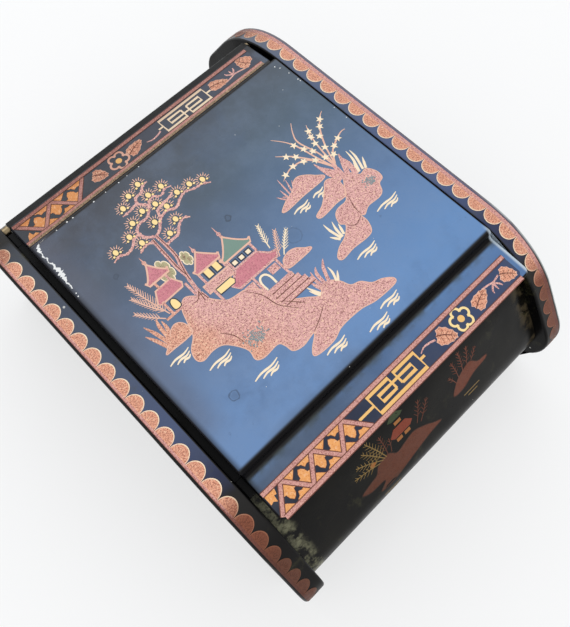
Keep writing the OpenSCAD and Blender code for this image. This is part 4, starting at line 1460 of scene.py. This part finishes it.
def lid_pad():
    """The lid's pad: its cloth swells between the crossed quilting lines."""
    low, high = node_box("lid_lining", 0.3)
    verts, faces = soft_box((low.x, low.y, low.z + 1.1), high, 2.0, 2.6)
    piece = velvet_piece("lid_pad_velvet", verts, faces, "lid")

    def held(p):
        return p.z > low.z + 2.6 or from_rim(p, low, high) < PAD_RIM or quilt_distance(p.x, p.y) < QUILT_SEAM
    puff(piece, held, *PAD_PUFF)
    for vertex in piece.data.vertices:
        p = vertex.co / MM
        if p.z < low.z + 2.4 and from_rim(p, low, high) > PAD_RIM:
            vertex.co.z += QUILT_DIP * max(0.0, 1 - quilt_distance(p.x, p.y) / 1.9) * MM
    round_over(piece)
    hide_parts("lid_lining")


def floor_pad():
    """The floor's pad, held flat under the bank and the dividers."""
    low, high = node_box("floor_lining")
    verts, faces = soft_box(low, (high.x, high.y, high.z - 0.5), 1.1, 3.0)
    piece = velvet_piece("floor_pad_velvet", verts, faces)
    back, cross = extent("ring_bank", 1)[0], extent("cross_divider", 1)
    split = extent("front_divider", 0)

    def held(p):
        rim = from_rim(p, low, high) < PAD_RIM
        wall = cross[0] - 2 < p.y < cross[1] + 2 or p.y < cross[0] and split[0] - 2 < p.x < split[1] + 2
        return p.z < low.z + 1.2 or rim or wall or p.y > back
    puff(piece, held, *FLOOR_PUFF)
    round_over(piece)
    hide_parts("floor_lining")


BANK_WAVE = 26.0      # between the shallow dips in the bank's top


def ring_bank():
    """The bank that carries the ring rolls, with a slightly wavy top."""
    low, high = node_box("ring_bank", 0.2)
    verts, faces = soft_box(low, high, 1.6, 3.2)
    for v in verts:
        if v.z > high.z - 0.1:
            v.z -= 0.25 * (1 - math.cos(TAU * (v.x - low.x) / BANK_WAVE))
    piece = velvet_piece("ring_bank_velvet", verts, faces)
    round_over(piece)
    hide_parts("ring_bank")


ROLLS = 6
ROLL_TUCKS = 5        # round a ring roll
TUCK_DEPTH = 0.16
TUCK_WIDTH = 1.7
TUCK_SLANT = 1.2      # how far a tuck wanders along the roll
GATHER_DEPTH = 0.14   # of the folds at a roll's ends
ROLL_END = 4.0        # over which a roll swells from its end
AROUND, ALONG = 28, 66   # cells of a roll


def ring_roll(index, rng):
    """A foam roll in velvet, gathered at its ends, with shallow tucks round it."""
    node = f"ring_roll_{index}"
    low, high = node_box(node)
    middle = (low + high) / 2
    r = (high.z - low.z) / 2
    long = high.x - low.x
    tucks = [long * (k + 0.5 + rng.uniform(-0.2, 0.2)) / ROLL_TUCKS for k in range(ROLL_TUCKS)]
    lean = [rng.uniform(0, TAU) for _ in tucks]
    verts, faces = [], []
    for i in range(ALONG + 1):
        x = long * i / ALONG
        end = min(x, long - x)
        swell = math.sqrt(max(0.0, 1 - (1 - min(1, end / ROLL_END)) ** 2))
        for j in range(AROUND):
            turn = TAU * j / AROUND
            tuck = sum(TUCK_DEPTH * math.exp(-((x - t + TUCK_SLANT * math.sin(turn + a)) / TUCK_WIDTH) ** 2)
                       for t, a in zip(tucks, lean))
            gather = GATHER_DEPTH * math.exp(-end / 5) * math.cos(9 * turn)
            reach = r * (0.35 + 0.65 * swell) - tuck - gather - 0.12
            flat = 1.0 + 0.04 * min(0.0, math.sin(turn))   # lower half a little flatter
            verts.append((low.x + x, middle.y + reach * math.cos(turn),
                          middle.z + reach * flat * math.sin(turn)))
    first, last, end_ring = len(verts), len(verts) + 1, ALONG * AROUND
    verts += [(low.x + 0.25, middle.y, middle.z), (high.x - 0.25, middle.y, middle.z)]
    for i in range(ALONG):
        a, b = i * AROUND, (i + 1) * AROUND
        faces += [(b + j, b + (j + 1) % AROUND, a + (j + 1) % AROUND, a + j) for j in range(AROUND)]
    for j in range(AROUND):
        k = (j + 1) % AROUND
        faces += [(first, j, k), (last, end_ring + k, end_ring + j)]
    piece = velvet_piece(f"{node}_velvet", verts, faces)
    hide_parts(node)


def covered_board(node, name, bow):
    """A card divider covered in velvet, with a rounded top and a slight bow."""
    low, high = node_box(node, 0.05)
    verts, faces = soft_box(low, high, 1.5, 2.4)
    long_x = high.x - low.x > high.y - low.y
    for v in verts:
        share = (v.x - low.x) / (high.x - low.x) if long_x else (v.y - low.y) / (high.y - low.y)
        rise = (v.z - low.z) / (high.z - low.z)
        v.z -= 0.35 * rise * (1 - math.cos(TAU * share)) * bow
    piece = velvet_piece(name, verts, faces)
    round_over(piece)
    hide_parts(node)


def wall_lining(node, name):
    """A card lining: the CAD sheet, with its edges turned over."""
    work = bmesh.new()
    work.from_mesh(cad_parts[node].data)
    bmesh.ops.remove_doubles(work, verts=work.verts, dist=0.002 * MM)
    bmesh.ops.dissolve_limit(work, angle_limit=math.radians(1), verts=work.verts, edges=work.edges)
    mesh = bpy.data.meshes.new(name)
    work.to_mesh(mesh)
    work.free()
    cover(mesh)
    piece = add_piece(name, mesh, "case")
    turned = piece.modifiers.new("turned_edges", "BEVEL")
    turned.width = 0.55 * MM
    turned.segments = 3
    turned.limit_method = "ANGLE"
    turned.angle_limit = math.radians(50)
    turned.harden_normals = True
    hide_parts(node)


def line_inside():
    rng = random.Random(11)
    lid_pad()
    floor_pad()
    ring_bank()
    for index in range(1, ROLLS + 1):
        ring_roll(index, rng)
    covered_board("cross_divider", "cross_divider_velvet", 1.0)
    covered_board("front_divider", "front_divider_velvet", 0.6)
    for side in ("front", "back", "left", "right"):
        wall_lining(f"{side}_lining", f"{side}_lining_velvet")


line_inside()


# ---------------------------------------------------------------- camera, light and floor
CAMERA_AT = (-0.0767, -0.1090, 0.3422)
CAMERA_AIM = (-0.0146, -0.0362, 0.1000)
CAMERA_UP = (0.6551, 0.6605, 0.3669)
CAMERA_LENS = 38.2
LAMP_AIM = (0, 0, 0.05)
LAMPS = (  # name, place, side, watts and colour
    ("sky_panel", (0.5, 1.0, 1.5), 1.6, 8, (0.92, 0.96, 1.0)),
    ("front_panel_light", (-0.9, -1.1, 0.9), 1.2, 4, (1.0, 0.98, 0.95)),
)
WHITE = (1, 1, 1, 1)
ROOM_LIGHT = (0.97, 0.985, 1.0, 1)
ROOM_STRENGTH = 0.85
FLOOR_COLOUR = (0.92, 0.92, 0.92, 1)
FLOOR_WHITE = 0.55        # share of plain white in the floor, as the camera sees it
FLOOR_REACH = 20.0


def add_camera():
    data = bpy.data.cameras.new("photo_camera")
    data.lens = CAMERA_LENS
    camera = add_object("photo_camera", data)
    back = (Vector(CAMERA_AT) - Vector(CAMERA_AIM)).normalized()
    right = Vector(CAMERA_UP).cross(back).normalized()
    turn = Matrix((right, back.cross(right), back)).transposed()
    camera.matrix_world = Matrix.Translation(CAMERA_AT) @ turn.to_4x4()
    bpy.context.scene.camera = camera


def add_lamp(name, at, side, watts, colour):
    data = bpy.data.lights.new(name, "AREA")
    data.shape = "RECTANGLE"
    data.size = data.size_y = side
    data.energy = watts
    data.color = colour
    lamp = add_object(name, data)
    lamp.location = at
    lamp.rotation_euler = (Vector(LAMP_AIM) - Vector(at)).to_track_quat("-Z", "Y").to_euler()


def plain_shader(tree, kind, **inputs):
    """A shader of the world or the floor, with its constants by name."""
    node = tree.nodes.new(kind)
    for label, value in inputs.items():
        node.inputs[label].default_value = value
    return node.outputs[0]


def blend(tree, share, first, second):
    """The first shader with a share of the second."""
    mix = tree.nodes.new("ShaderNodeMixShader")
    for socket, value in zip(mix.inputs, (share, first, second)):
        tree.links.new(value, socket)
    return mix.outputs[0]


def add_world():
    """White where the camera looks past the floor, and soft light from all round."""
    world = bpy.data.worlds.new("studio")
    bpy.context.scene.world = world
    world.use_nodes = True
    tree = world.node_tree
    tree.nodes.clear()
    seen = plain_shader(tree, "ShaderNodeBackground", Color=WHITE, Strength=1.0)
    light = plain_shader(tree, "ShaderNodeBackground", Color=ROOM_LIGHT, Strength=ROOM_STRENGTH)
    camera_ray = tree.nodes.new("ShaderNodeLightPath").outputs["Is Camera Ray"]
    out = tree.nodes.new("ShaderNodeOutputWorld")
    tree.links.new(blend(tree, camera_ray, light, seen), out.inputs["Surface"])


def add_floor():
    """Pale paper, which takes the object's shadow and looks whiter to the camera than it lights."""
    mesh = bpy.data.meshes.new("floor")
    corners = [(FLOOR_REACH * x, FLOOR_REACH * y, 0) for x, y in ((-1, -1), (1, -1), (1, 1), (-1, 1))]
    mesh.from_pydata(corners, [], [(0, 1, 2, 3)])
    floor = add_object("floor", mesh)
    material = bpy.data.materials.new("floor_paper")
    material.use_nodes = True
    tree = material.node_tree
    paper = tree.nodes["Principled BSDF"]
    paper.inputs["Base Color"].default_value = FLOOR_COLOUR
    paper.inputs["Roughness"].default_value = 0.9
    rays = tree.nodes.new("ShaderNodeLightPath").outputs
    seen = rays["Is Camera Ray"]
    for kind in ("Is Glossy Ray", "Is Transmission Ray"):
        either = tree.nodes.new("ShaderNodeMath")
        either.operation = "MAXIMUM"
        tree.links.new(seen, either.inputs[0])
        tree.links.new(rays[kind], either.inputs[1])
        seen = either.outputs[0]
    share = tree.nodes.new("ShaderNodeMath")
    share.operation = "MULTIPLY"
    tree.links.new(seen, share.inputs[0])
    share.inputs[1].default_value = FLOOR_WHITE
    white = plain_shader(tree, "ShaderNodeEmission", Color=WHITE, Strength=1.0)
    surface = blend(tree, share.outputs[0], paper.outputs[0], white)
    tree.links.new(surface, tree.nodes["Material Output"].inputs["Surface"])
    mesh.materials.append(material)


add_camera()
for lamp in LAMPS:
    add_lamp(*lamp)
add_world()
add_floor()
bpy.context.scene.view_settings.view_transform = "Standard"
